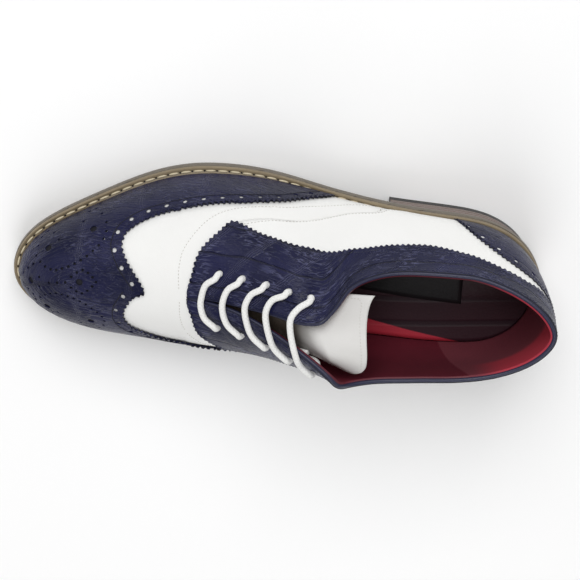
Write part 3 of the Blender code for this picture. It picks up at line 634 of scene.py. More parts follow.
def seam(name, path, normals, pitch, length, width, height, material, fine=False):
    """A row of stitches along a path of points, each a small rounded grain of thread."""
    reach = run_along(path)
    count = max(1, int(reach[-1] / pitch))
    at = (np.arange(count) + 0.5) * reach[-1] / count
    centre = np.stack([np.interp(at, reach, path[:, k]) for k in range(3)], -1)
    ahead = np.stack([np.interp(at + pitch / 4, reach, path[:, k]) for k in range(3)], -1)
    behind = np.stack([np.interp(at - pitch / 4, reach, path[:, k]) for k in range(3)], -1)
    normal = np.stack([np.interp(at, reach, normals[:, k]) for k in range(3)], -1)
    bm = bmesh.new()
    for k in range(count):
        place = frame_at(centre[k], centre[k] + normal[k], ahead[k] - behind[k])
        place = place @ Matrix.Diagonal((length / 2, width / 2, height, 1))
        if fine:
            bmesh.ops.create_uvsphere(bm, u_segments=10, v_segments=6, radius=1.0, matrix=place)
        else:
            bmesh.ops.create_icosphere(bm, subdivisions=1, radius=1.0, matrix=place)
    mesh = bpy.data.meshes.new(name)
    bm.to_mesh(mesh)
    bm.free()
    return link(name, mesh, material)


def leather_path(rows, distance, count=400):
    """Points and normals of a line on the leather through rows of distance along and up."""
    rows = np.array(rows)
    share = np.linspace(0, 1, len(rows))
    at = np.linspace(0, 1, count)
    along = steady_curve(share, rows[:, 0], at)
    up = steady_curve(share, rows[:, 1], at)
    points = leather_point(along, up, distance)
    higher = leather_point(along, up, distance + MM)
    return to_world(points), to_world(higher) - to_world(points)


# Materials

class Value:
    """A shader socket that takes part in Python expressions."""

    def __init__(self, finish, socket):
        self.finish = finish
        self.socket = socket

    def math(self, operation, *others):
        node = self.finish.tree.nodes.new("ShaderNodeMath")
        node.operation = operation
        for spot, value in zip(node.inputs, (self, *others)):
            self.finish.put(spot, value)
        return Value(self.finish, node.outputs[0])

    def flipped(self, operation, first):
        node = self.finish.tree.nodes.new("ShaderNodeMath")
        node.operation = operation
        self.finish.put(node.inputs[0], first)
        self.finish.put(node.inputs[1], self)
        return Value(self.finish, node.outputs[0])

    def __add__(self, other):
        return self.math("ADD", other)

    def __radd__(self, other):
        return self.flipped("ADD", other)

    def __sub__(self, other):
        return self.math("SUBTRACT", other)

    def __rsub__(self, other):
        return self.flipped("SUBTRACT", other)

    def __mul__(self, other):
        return self.math("MULTIPLY", other)

    def __rmul__(self, other):
        return self.flipped("MULTIPLY", other)

    def __truediv__(self, other):
        return self.math("DIVIDE", other)

    def __abs__(self):
        return self.math("ABSOLUTE")

    def clamp(self):
        return self.math("MAXIMUM", 0.0).math("MINIMUM", 1.0)

    def smooth(self, low, high):
        """0 below `low`, 1 above `high` and a soft step between them."""
        share = ((self - low) * (1 / (high - low))).clamp()
        return share * share * (3.0 - 2.0 * share)


class Finish:
    """One procedural material."""

    def __init__(self, name):
        self.material = bpy.data.materials.new(name)
        self.material.use_nodes = True
        self.tree = self.material.node_tree
        self.shader = self.tree.nodes["Principled BSDF"]

    def put(self, spot, value):
        """Set a socket to a number or colour, or link a value into it."""
        if isinstance(value, Value):
            self.tree.links.new(value.socket, spot)
        elif isinstance(value, (tuple, list)) and len(value) == 3 and len(spot.default_value) == 4:
            spot.default_value = (*value, 1.0)
        else:
            spot.default_value = value

    def node(self, kind, settings=None, out=0, **inputs):
        """Add a node with its settings, its inputs by name, and one of its outputs as a value."""
        node = self.tree.nodes.new(kind)
        for key, value in (settings or {}).items():
            setattr(node, key, value)
        for key, value in inputs.items():
            self.put(node.inputs[key.replace("_", " ")], value)
        return Value(self, node.outputs[out])

    def combine(self, x, y, z=0.0):
        return self.node("ShaderNodeCombineXYZ", X=x, Y=y, Z=z)

    def split(self, vector):
        node = self.tree.nodes.new("ShaderNodeSeparateXYZ")
        self.put(node.inputs[0], vector)
        return [Value(self, spot) for spot in node.outputs]

    def uv(self):
        return self.split(self.node("ShaderNodeTexCoord", out=2))

    def place(self):
        return self.node("ShaderNodeTexCoord", out=3)

    def noise(self, vector, scale, detail=2.0, rough=0.5, distortion=0.0):
        return self.node("ShaderNodeTexNoise", Vector=vector, Scale=scale, Detail=detail, Roughness=rough,
                         Distortion=distortion)

    def cells(self, vector, scale, feature="F1", randomness=1.0, out=0):
        return self.node("ShaderNodeTexVoronoi", {"feature": feature}, out, Vector=vector, Scale=scale,
                         Randomness=randomness)

    def mix(self, factor, first, second):
        """Blend two colours."""
        node = self.tree.nodes.new("ShaderNodeMix")
        node.data_type = "RGBA"
        self.put(node.inputs[0], factor)
        self.put(node.inputs[6], first)
        self.put(node.inputs[7], second)
        return Value(self, node.outputs[2])

    def bump(self, height, distance, strength):
        node = self.tree.nodes.new("ShaderNodeBump")
        node.inputs["Strength"].default_value = strength
        node.inputs["Distance"].default_value = distance
        self.put(node.inputs["Height"], height)
        return Value(self, node.outputs[0])

    def wear(self, **sockets):
        """Set the shader's sockets by name."""
        for key, value in sockets.items():
            self.put(self.shader.inputs[key.replace("_", " ")], value)
        return self.material


def colour(name):
    return tuple(getattr(bpy.context.scene.shoe_colours, name))


def size(name):
    return getattr(bpy.context.scene.shoe_sizes, name)


def embossed_leather(name, row, lane, slant, relief, offset=0.0):
    """Navy leather pressed with slanting rows of scales and fine lengthwise wrinkles, with painted highlights,
    partly real wear, on its wrinkles and scale ribs and painted shade in its lane grooves.

    `row` and `lane` are the length and width of a scale, `relief` is how strong its seams are.
    """
    skin = Finish(name)
    length, girth, none = skin.uv()
    down = abs(girth)
    wander = skin.noise(skin.combine(length * 45, girth * 45), 1.0, 2.0) - 0.5
    rows = (length + down * slant + wander * 0.007 + offset) / row
    lanes = (down + wander * 0.006) / lane
    to_row = abs(rows.math("FRACT") - 0.5) * row
    to_lane = abs(lanes.math("FRACT") - 0.5) * lane
    seam_near = 1 - to_row.smooth(0.0004, 0.0030)
    ribs = (rows * (row * 2 * math.pi / 0.0013) + wander * 6).math("SINE") * 0.5 + 0.5
    lane_line = 1 - to_lane.smooth(0.0001, 0.0008)
    wrinkle = skin.noise(skin.combine(length * 95 + wander, girth * 520 + wander * 2), 1.0, 2.0, 0.5, 0.3)
    fold = (1 - abs(wrinkle - 0.5) * 2).smooth(0.86, 0.98)
    where = skin.noise(skin.combine(length * 42, girth * 60), 1.0, 2.0).smooth(0.42, 0.60)
    grain = skin.noise(skin.combine(length * 1500, girth * 1500), 1.0, 2.0)
    cloud = skin.noise(skin.combine(length * 28, girth * 28), 1.0, 3.0)
    height = fold * (where * 0.9 + 0.15) + (seam_near * ribs * 0.8 - lane_line * 0.8) * relief + grain * 0.10
    # Painted highlight, partly real wear: wrinkles and the ribs by the scale seams are lightened towards a
    # pale navy, part rubbed wax and part the glint of the lights.
    sheen_and_wear = fold * where * (0.20 + 0.45 * relief) + seam_near * ribs * cloud * 0.9 * relief
    shade = skin.mix(cloud.smooth(0.35, 0.65), colour("navy_dark"), colour("navy_light"))
    shade = skin.mix(sheen_and_wear.clamp(), shade, colour("navy_worn"))
    # Painted shade: the lane grooves between the scales are darkened almost to black.
    shade = skin.mix(lane_line * (0.7 * relief), shade, (0.004, 0.004, 0.012))
    return skin.wear(
        Base_Color=shade, Roughness=0.28 + 0.10 * grain, IOR=1.40, Specular_IOR_Level=0.42,
        Normal=skin.bump(height, 0.0013, 0.85))


def smooth_leather(name, light, dark, grain_size=1400.0, roughness=0.42, bump=0.12):
    """Finished calf with a fine pore grain and a faint mottle."""
    skin = Finish(name)
    where = skin.place()
    pores = skin.cells(where, grain_size, "DISTANCE_TO_EDGE")
    mottle = skin.noise(where, 45.0, 3.0)
    fine = skin.noise(where, 2400.0, 2.0)
    shade = skin.mix((mottle * 0.5 + (1 - pores.smooth(0.0, 0.2)) * 0.10).clamp(), light, dark)
    height = pores.smooth(0.0, 0.35) * 0.6 + fine * 0.3 + mottle * 0.4
    return skin.wear(
        Base_Color=shade, Roughness=roughness + 0.10 * (mottle - 0.5), IOR=1.47, Coat_Weight=0.10,
        Coat_Roughness=0.3, Normal=skin.bump(height, 0.00012, bump * 4))


def plain_finish(name, base, roughness, grain=300.0, spread=0.25, bump=0.3, depth=0.0002):
    """A plain material with uneven colour and a slight tooth."""
    skin = Finish(name)
    where = skin.place()
    blotch = skin.noise(where, grain * 0.2, 3.0)
    tooth = skin.noise(where, grain * 4, 3.0)
    dark = tuple(c * (1 - spread) for c in base)
    shade = skin.mix((blotch * 0.7 + tooth * 0.3).clamp(), dark, base)
    return skin.wear(Base_Color=shade, Roughness=roughness + 0.12 * (tooth - 0.5),
                     Normal=skin.bump(tooth, depth, bump))


FINISHES = {}


def finish(name):
    """Make each material once and hand it out by name."""
    if name not in FINISHES:
        FINISHES[name] = MAKERS[name]()
    return FINISHES[name]


def lining_leather():
    """Red pigskin lining, with a paler suede grip round the heel, brightened on the upper part of the grip as
    a painted pool of light.
    """
    skin = Finish("red lining")
    where = skin.place()
    x, y, z = skin.split(where)
    grip = (y - z * 0.2).smooth(-0.0195, -0.0185)
    nap = skin.noise(where, 900.0, 3.0)
    cloud = skin.noise(where, 30.0, 3.0)
    # Painted light: the upper part of the heel grip is brightened towards a bright red, where light falls into
    # the shoe.
    high = z.smooth(0.060, 0.068) * y.smooth(0.0, 0.02)
    smooth = skin.mix(cloud, colour("lining_dark"), colour("lining"))
    suede = skin.mix((cloud * 0.6 + nap * 0.4).clamp(), colour("suede_dark"), colour("suede"))
    suede = skin.mix(high * 0.7, suede, colour("lining_bright"))
    return skin.wear(Base_Color=skin.mix(grip, smooth, suede), Roughness=0.55 + 0.25 * grip,
                     Normal=skin.bump(nap, 0.0002, 0.35))


def insole_leather():
    """Red sock painted dark for the shade on the insole, darker in the grooves of its ridges, with a painted
    pool of light as a bright red strip along its inner side.
    """
    skin = Finish("red sock")
    where = skin.place()
    x, y, z = skin.split(where)
    nap = skin.noise(where, 700.0, 3.0)
    cloud = skin.noise(where, 25.0, 2.0)
    # Painted light: a bright red strip along the sock's inner side, where light falls past the walls.
    lit_strip = (x - (y + 0.061) * 0.19 + cloud * 0.001).smooth(0.0190, 0.0198)
    ridge = ((x + y * 0.06) * 420).math("SINE").smooth(0.55, 1.0) * x.smooth(0.0, 0.006)
    # Painted shade: the sock gets dark colours for the shade of the walls, darkest in the ridge grooves.
    sock_in_shade = skin.mix((cloud * 0.8 - ridge * 0.5).clamp(), colour("sock_dark"), colour("sock"))
    shade = skin.mix(lit_strip, sock_in_shade, colour("lining_bright"))
    return skin.wear(Base_Color=shade, Roughness=0.5 + 0.1 * nap,
                     Normal=skin.bump(nap * 0.3 - ridge, 0.0006, 0.4))


def tongue_leather():
    """White calf, set darker than the upper's white calf for painted shade, that turns dark brown towards its
    toe end under the laces.
    """
    skin = Finish("white tongue calf")
    where = skin.place()
    x, y, z = skin.split(where)
    pores = skin.cells(where, 1300.0, "DISTANCE_TO_EDGE").smooth(0.0, 0.35)
    cloud = skin.noise(where, 40.0, 3.0)
    # Dark brown towards the tongue's toe end, where it lies under the laces.
    brown_toe_end = 1 - (y + cloud * 0.006).smooth(-0.096, -0.082)
    # Painted shade: the tongue's white is darker than the white calf of the upper.
    shaded_white = skin.mix(cloud, colour("tongue"), colour("tongue_dark"))
    shade = skin.mix(brown_toe_end, shaded_white, (0.055, 0.042, 0.032))
    return skin.wear(Base_Color=shade, Roughness=0.45 + 0.1 * cloud,
                     Normal=skin.bump(pores * 0.6 + cloud * 0.4, 0.00012, 0.5))


def welt_leather():
    """Tan welt with blotches and a fine grain."""
    skin = Finish("tan welt")
    where = skin.place()
    blotch = skin.noise(where, 60.0, 3.0)
    grain = skin.noise(where, 1200.0, 3.0)
    shade = skin.mix((blotch * 0.6 + grain * 0.4).clamp(), colour("welt_dark"), colour("welt"))
    return skin.wear(Base_Color=shade, Roughness=0.5 + 0.1 * (grain - 0.5),
                     Normal=skin.bump(grain + blotch * 0.5, 0.0002, 0.5))


def layered_edge(name, light, dark, layer=0.0016, roughness=0.42):
    """A burnished edge with the faint lines of its layers and scuffs along it."""
    skin = Finish(name)
    where = skin.place()
    x, y, z = skin.split(where)
    drift = skin.noise(skin.combine(x * 40, y * 40, z * 400), 1.0, 2.0)
    line = abs(((z / layer) + drift * 0.8).math("FRACT") - 0.5).smooth(0.36, 0.5)
    streak = skin.noise(skin.combine(x * 60, y * 60, z * 2500), 1.0, 3.0)
    shade = skin.mix((streak * 0.9).clamp(), dark, light)
    shade = skin.mix(line * 0.55, shade, tuple(c * 0.35 for c in dark))
    return skin.wear(Base_Color=shade, Roughness=roughness + 0.15 * (streak - 0.5), Coat_Weight=0.1,
                     Coat_Roughness=0.3, Normal=skin.bump(streak - line * 0.6, 0.0002, 0.5))


def braided_cord():
    """White cord woven in a fine slanted braid that follows its length."""
    skin = Finish("white lace cord")
    along, round_it, none = skin.uv()
    one = ((along * 900 + round_it * 6) * math.pi).math("SINE")
    two = ((along * 900 - round_it * 6) * math.pi).math("SINE")
    weave = one.math("MAXIMUM", two)
    fuzz = skin.noise(skin.combine(along * 2500, round_it * 12), 1.0, 2.0)
    shade = skin.mix((0.5 + weave * 0.35 + (fuzz - 0.5) * 0.4).clamp(), colour("lace_dark"), colour("lace"))
    return skin.wear(Base_Color=shade, Roughness=0.72, Sheen_Weight=0.3, Sheen_Roughness=0.5,
                     Normal=skin.bump(weave * 0.7 + fuzz * 0.3, 0.0002, 0.55))


MAKERS = {
    "wing": lambda: embossed_leather("navy embossed toe leather", 0.031, 0.019, 0.1, 0.22),
    "facing": lambda: embossed_leather("navy embossed facing leather", 0.025, 0.017, 0.9, 0.9, -0.0045),
    "counter": lambda: embossed_leather("navy embossed counter leather", 0.026, 0.012, 0.3, 0.3),
    "white": lambda: smooth_leather("white calf", colour("white"), colour("white_dark")),
    "tongue": tongue_leather,
    "raw": lambda: plain_finish("dark cut edge", (0.012, 0.012, 0.020), 0.7),
    "white raw": lambda: plain_finish("pale cut edge", (0.34, 0.29, 0.20), 0.7),
    "navy thread": lambda: plain_finish("navy thread", (0.02, 0.022, 0.05), 0.5, 2000.0),
    "cream thread": lambda: plain_finish("cream thread", colour("thread"), 0.6, 2500.0),
    "white thread": lambda: plain_finish("white thread", (0.62, 0.60, 0.55), 0.6, 2500.0),
    "lining": lining_leather,
    "sock": insole_leather,
    "patch": lambda: smooth_leather("black label leather", (0.003, 0.003, 0.005), (0.002, 0.002, 0.003),
                                    1000.0, 0.7),
    "welt": welt_leather,
    "outsole": lambda: layered_edge("brown outsole leather", colour("sole"), colour("sole_dark"), 0.0022),
    "stack": lambda: layered_edge("stacked heel leather", colour("stack"), colour("stack_dark"), 0.0012),
    "rubber": lambda: plain_finish("black rubber", (0.018, 0.016, 0.015), 0.55, 500.0),
    "lace": braided_cord,
    "bead": lambda: smooth_leather("navy folded edge", (0.018, 0.020, 0.055), (0.010, 0.011, 0.035), 1200.0),
    "backing": lambda: plain_finish("dark backing cloth", (0.006, 0.006, 0.012), 0.85, 800.0),
    "studio floor": lambda: plain_finish("pale studio floor", (0.99, 0.99, 0.99), 0.8, 3.0, 0.005, 0.0),
}


def hand_over(item, node):
    """Ride the piece on the root body and hide the solid it stands for, if any."""
    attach(item, "root")
    if node:
        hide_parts(node)


# Settings

def span(label, words, value):
    return bpy.props.FloatProperty(name=label, description=words, default=value, unit="LENGTH")


class ShoeSizes(bpy.types.PropertyGroup):
    tooth_pitch: span("Tooth pitch", "Distance between the teeth of a pinked edge", 3.05 * MM)
    tooth_depth: span("Tooth depth", "Depth of the teeth of a pinked edge", 1.55 * MM)
    overlay_height: span("Overlay height", "Height of the navy leather over the white", 1.5 * MM)
    overlay_wall: span("Overlay thickness", "Thickness of the navy leather", 0.85 * MM)
    quarter_height: span("Quarter height", "Height of the white quarter over the vamp", 0.8 * MM)
    welt_stitch_pitch: span("Welt stitch pitch", "Distance between the welt's stitches", 6.9 * MM)
    welt_stitch_length: span("Welt stitch length", "Length of each stitch on the welt", 5.9 * MM)
    fine_stitch_pitch: span("Upper stitch pitch", "Distance between the stitches of the upper", 1.9 * MM)
    edge_hole: span("Edge hole radius", "Radius of the holes along the pinked edges", 1.3 * MM)
    large_hole: span("Large hole radius", "Radius of the large holes on the toe", 1.95 * MM)
    pin_hole: span("Pin hole radius", "Radius of the small holes on the toe", 0.78 * MM)


def tint(label, words, value):
    return bpy.props.FloatVectorProperty(name=label, description=words, default=value, size=3, subtype="COLOR",
                                         min=0.0, max=1.0)


class ShoeColours(bpy.types.PropertyGroup):
    navy_light: tint("Navy", "Raised parts of the navy leather", (0.011, 0.012, 0.054))
    navy_dark: tint("Dark navy", "Hollows of the navy leather", (0.004, 0.005, 0.029))
    # Pale navy of painted highlights on the wrinkles and scale ribs, partly rubbed wax.
    navy_worn: tint("Worn navy", "Rubbed ridges of the navy leather", (0.115, 0.120, 0.235))
    white: tint("White", "White calf", (0.90, 0.90, 0.885))
    white_dark: tint("Shaded white", "Pores and mottle of the white calf", (0.84, 0.835, 0.815))
    # The tongue's whites are darker than the upper's white calf: painted shade.
    tongue: tint("Tongue", "White of the tongue", (0.70, 0.69, 0.675))
    tongue_dark: tint("Shaded tongue", "Mottle of the tongue", (0.62, 0.61, 0.59))
    lining: tint("Lining", "Red lining", (0.150, 0.012, 0.026))
    # Bright red of painted light, on the upper heel grip and along the sock's inner side.
    lining_bright: tint("Bright lining", "Bright red edges of the lining", (0.50, 0.028, 0.052))
    lining_dark: tint("Dark lining", "Shaded red lining", (0.075, 0.007, 0.015))
    suede: tint("Heel grip", "Suede round the heel", (0.200, 0.032, 0.048))
    suede_dark: tint("Dark heel grip", "Worn suede round the heel", (0.110, 0.015, 0.026))
    # Dark colours of the sock: painted shade on the insole.
    sock: tint("Sock", "Trodden sock on the insole", (0.045, 0.010, 0.018))
    sock_dark: tint("Dark sock", "Hollows of the trodden sock", (0.020, 0.006, 0.012))
    welt: tint("Welt", "Tan welt", (0.34, 0.27, 0.17))
    welt_dark: tint("Dark welt", "Burnished part of the welt", (0.14, 0.105, 0.062))
    thread: tint("Thread", "Cream thread of the welt", (0.80, 0.70, 0.50))
    sole: tint("Sole", "Outsole edge", (0.20, 0.165, 0.115))
    sole_dark: tint("Dark sole", "Burnished outsole edge", (0.07, 0.055, 0.040))
    stack: tint("Heel", "Stacked heel", (0.24, 0.165, 0.135))
    stack_dark: tint("Dark heel", "Burnished heel", (0.10, 0.065, 0.052))
    lace: tint("Lace", "White cord", (0.88, 0.88, 0.86))
    lace_dark: tint("Shaded lace", "Hollows of the cord", (0.78, 0.775, 0.755))


# Sole

SOLE_COLUMNS = 360


def ring_mesh(name, levels):
    """A closed ring that follows the outline, from its levels of inset and height."""
    count = len(levels)

    def place(x, y):
        along = x * LOOP
        step = np.round(y * count).astype(int) % count
        points = np.zeros((len(x), 3))
        for k, (inset, height) in enumerate(levels):
            here = step == k
            edge = sole_edge(along[here], inset)
            points[here, :2] = edge
            points[here, 2] = height(edge[:, 0])
        return to_world(points)

    def chart(x, y):
        return np.stack([x * 2.3 * SOLE_LENGTH, y * 20 * MM], -1)

    return grid_mesh(name, SOLE_COLUMNS, count, place, chart)


def slab_mesh(name, levels, starts, across, columns):
    """A layer across the sole, lofted over its length from levels of inset and height."""
    count = len(levels)
    rows = 2 * across + 2 * (count - 1)

    def place(x, y):
        share = (1 - np.cos(np.pi * x)) / 2 if starts is None else np.sin(np.pi / 2 * x)
        step = np.round(y * rows).astype(int) % rows
        points = np.zeros((len(x), 3))
        for k in range(rows):
            here = step == k
            if k <= across:
                spread, level = k / across, 0
            elif k < across + count - 1:
                spread, level = 1.0, k - across
            elif k <= 2 * across + count - 1:
                spread, level = 1 - (k - across - count + 1) / across, count - 1
            else:
                spread, level = 0.0, rows - k
            inset, height = levels[level]
            if starts is None:
                ends = (share[here], LOOP - share[here])
            else:
                ends = tuple(1 + (end - 1) * share[here] for end in starts)
            outer = sole_edge(ends[0], inset)
            inner = sole_edge(ends[1], inset)
            row = outer * (1 - spread) + inner * spread
            points[here, :2] = row
            points[here, 2] = height(row[:, 0])
        return to_world(points)

    def chart(x, y):
        return np.stack([x * SOLE_LENGTH, y * SOLE_BREADTH], -1)

    return seal(grid_mesh(name, columns, rows, place, chart))


def crisp(item, angle):
    """Keep the edges sharper than an angle in degrees from being shaded smooth."""
    item.data.set_sharp_from_angle(angle=math.radians(angle))
    return item


def along_at(u, inner_side=False):
    """How far along the outline's heel half reaches u."""
    marks = np.linspace(0.5, 1.0, 400)
    marks = LOOP - marks if inner_side else marks
    edge = sole_edge(marks)[:, 0]
    order = np.argsort(edge)
    return float(np.interp(u, edge[order], marks[order]))


class SHOE_OT_outsole(bpy.types.Operator):
    """Make the outsole with its rounded edge"""
    bl_idname = "shoe.outsole"
    bl_label = "Outsole"

    def execute(self, context):
        half = OUTSOLE_THICKNESS / 2
        levels = (
            (EDGE_ROUND, bottom_height),
            (0.15 * EDGE_ROUND, lambda u: bottom_height(u) + 0.4 * EDGE_ROUND),
            (0.0, lambda u: bottom_height(u) + EDGE_ROUND),
            (0.0, lambda u: bottom_height(u) + half),
            (0.0, lambda u: bottom_height(u) + OUTSOLE_THICKNESS - EDGE_ROUND),
            (0.15 * EDGE_ROUND, lambda u: bottom_height(u) + OUTSOLE_THICKNESS - 0.4 * EDGE_ROUND),
            (EDGE_ROUND, lambda u: bottom_height(u) + OUTSOLE_THICKNESS),
        )
        mesh = slab_mesh("outsole_leather", levels, None, 8, 260)
        item = crisp(link("outsole_leather", mesh, finish("outsole")), 50)
        hand_over(item, "outsole")
        return {"FINISHED"}


class SHOE_OT_heel(bpy.types.Operator):
    """Make the stacked heel and its top piece"""
    bl_idname = "shoe.heel"
    bl_label = "Heel"

    def execute(self, context):
        breast = (along_at(HEEL_LENGTH), along_at(HEEL_LENGTH, True))
        low = TOP_PIECE_THICKNESS + SEAM_GAP

        def level(share):
            return lambda u: low + (bottom_height(u) - SEAM_GAP - low) * share

        def inset(share):
            return EDGE_ROUND + HEEL_TAPER * (1 - share)

        levels = [(inset(0), level(0.0))]
        for lift in (1, 2):
            share = lift / 3
            groove = 0.030
            levels.append((inset(share), level(share - groove)))
            levels.append((inset(share) + 0.5 * MM, level(share)))
            levels.append((inset(share), level(share + groove)))
        levels.append((inset(1), level(1.0)))
        block = crisp(link("heel_stack", slab_mesh("heel_stack", levels, breast, 6, 120), finish("stack")), 30)
        hand_over(block, "heel_block")
        taper = EDGE_ROUND + HEEL_TAPER
        base = (
            (taper + EDGE_ROUND, lambda u: 0 * u),
            (taper + 0.2 * EDGE_ROUND, lambda u: 0 * u + 0.35 * EDGE_ROUND),
            (taper, lambda u: 0 * u + EDGE_ROUND),
            (taper, lambda u: 0 * u + TOP_PIECE_THICKNESS),
        )
        piece = crisp(link("heel_top_rubber", slab_mesh("heel_top_rubber", base, breast, 6, 120),
                           finish("rubber")), 40)
        hand_over(piece, "heel_top_piece")
        return {"FINISHED"}


class SHOE_OT_welt(bpy.types.Operator):
    """Make the welt and its row of thick cream stitches"""
    bl_idname = "shoe.welt"
    bl_label = "Welt"

    def execute(self, context):
        top = WELT_THICKNESS
        line = 1.95 * MM + EDGE_ROUND
        levels = (
            (WELT_WIDTH, welt_height),
            (EDGE_ROUND, welt_height),
            (0.45 * EDGE_ROUND, lambda u: welt_height(u) + 0.3 * top),
            (0.45 * EDGE_ROUND, lambda u: welt_height(u) + 0.7 * top),
            (1.2 * EDGE_ROUND, lambda u: welt_height(u) + top),
            (line - 0.9 * MM, lambda u: welt_height(u) + top + 0.05 * MM),
            (line - 0.5 * MM, lambda u: welt_height(u) + top - 0.40 * MM),
            (line + 0.5 * MM, lambda u: welt_height(u) + top - 0.40 * MM),
            (line + 0.9 * MM, lambda u: welt_height(u) + top + 0.05 * MM),
            (WELT_WIDTH, lambda u: welt_height(u) + top),
        )
        mesh = seal(ring_mesh("welt_leather", levels), fill=False)
        item = crisp(link("welt_leather", mesh, finish("welt")), 50)
        hand_over(item, "welt")
        along = np.linspace(0, LOOP, 1200)
        edge = sole_edge(along, line)
        path = to_world(np.column_stack([edge, welt_height(edge[:, 0]) + top - 0.25 * MM]))
        up = np.tile((0.0, 0.0, 1.0), (len(path), 1))
        stitches = seam("welt_stitches", path, up, size("welt_stitch_pitch"), size("welt_stitch_length"),
                        1.25 * MM, 0.62 * MM, finish("cream thread"), fine=True)
        hand_over(stitches, None)
        turn = int(round(size("welt_stitch_pitch") / 2 / np.linalg.norm(path[1] - path[0])))
        shifted = np.concatenate([path[turn:], path[1:turn + 1]])
        # Painted shade: near-black grains mark the shade in the stitch holes between the welt's stitches.
        pricks = seam("welt_pricks", shifted, up, size("welt_stitch_pitch"), 1.1 * MM, 1.1 * MM, 0.45 * MM,
                      finish("backing"))
        hand_over(pricks, None)
        return {"FINISHED"}


# Upper

UPPER_COLUMNS = 420
UPPER_ROWS = 60


class SHOE_OT_upper(bpy.types.Operator):
    """Make the white upper with its red lining and the pinked white quarters over it"""
    bl_idname = "shoe.upper"
    bl_label = "Upper"

    def execute(self, context):
        def place(x, y):
            return to_world(leather_point(x * LOOP, y, 0.0))

        def chart(x, y):
            return leather_chart(x * LOOP, y)

        mesh = grid_mesh("upper_leather", UPPER_COLUMNS, UPPER_ROWS, place, chart)
        outward(mesh, 0.5, 0.5, 0.0)
        item = link("upper_leather", mesh, finish("white"), finish("lining"))
        thicken(item, UPPER_WALL, rim=1, inner=1)
        settle(item)
        holes = [(a if side else LOOP - a, up, UPPER_LACE_HOLE) for a, up in LACE_HOLES for side in (0, 1)]
        punch(item, punch_mesh("upper punch", holes))
        hand_over(item, "upper")
        self.quarters()
        self.stitch_lines()
        return {"FINISHED"}

    def quarters(self):
        rows = np.array(QUARTER_EDGE)
        height = size("quarter_height")
        at = np.linspace(0, 1, 1500)
        up_dense = rows[0, 0] + (rows[-1, 0] - rows[0, 0]) * at
        along_dense = steady_curve(rows[:, 0], rows[:, 1], up_dense)
        path = upper_point(along_dense, up_dense)
        reach = run_along(path)
        teeth = int(round(reach[-1] / size("tooth_pitch")))

        def levels(x):
            up = np.interp(x * reach[-1], reach, up_dense)
            return up, np.interp(x * reach[-1], reach, along_dense)

        def place(x, y):
            up, front = levels(x)
            share = 2 * y - 1
            along = 1 + share * (1 - front)
            points = leather_point(along, up, height)
            return to_world(points + teeth_shift(points, share, front, up, height, x * reach[-1]))

        def teeth_shift(points, share, front, up, height, run):
            outer = np.where(share < 0, front, LOOP - front)
            edge = leather_point(outer, up, height)
            within = leather_point(outer + np.where(share < 0, 0.004, -0.004), up, height)
            away = edge - within
            away /= np.linalg.norm(away, axis=-1, keepdims=True)
            near = np.clip(1 - np.linalg.norm(edge - points, axis=-1) / TOOTH_FADE, 0, 1)
            return away * (tooth_wave(run) * near)[:, None]

        mesh = grid_mesh("quarter_leather", 4 * teeth, 60, place,
                         lambda x, y: leather_chart(1 + (2 * y - 1) * (1 - levels(x)[1]), levels(x)[0]))
        outward(mesh, 0.75, 0.3, height)
        item = link("quarter_leather", mesh, finish("white"), finish("white raw"))
        thicken(item, height - 0.05 * MM, rim=1)
        settle(item)
        hand_over(item, None)

    def stitch_lines(self):
        rows = np.array(QUARTER_EDGE)[:6]
        pieces = []
        for inner in (False, True):
            line = [((LOOP - a - QUARTER_SEAM_GAP) if inner else a + QUARTER_SEAM_GAP, up) for up, a in rows]
            pieces.append(leather_path(line, size("quarter_height") + STITCH_LIFT))
            line = [((LOOP - a) if inner else a, up) for a, up in EYESTAY_LINE]
            pieces.append(leather_path(line, STITCH_LIFT))
        for number, (path, normals) in enumerate(pieces):
            item = seam(f"upper_stitches_{number + 1}", path, normals, size("fine_stitch_pitch"),
                        *WHITE_STITCH, finish("white thread"))
            hand_over(item, None)


def tooth_wave(run):
    """The zigzag of a pinked edge, about its middle, at a distance run along it."""
    phase = np.mod(run / size("tooth_pitch"), 1)
    zig = 1 - 4 * abs(phase - 0.5)
    return size("tooth_depth") / 2 * zig * (1.25 - 0.25 * abs(zig))


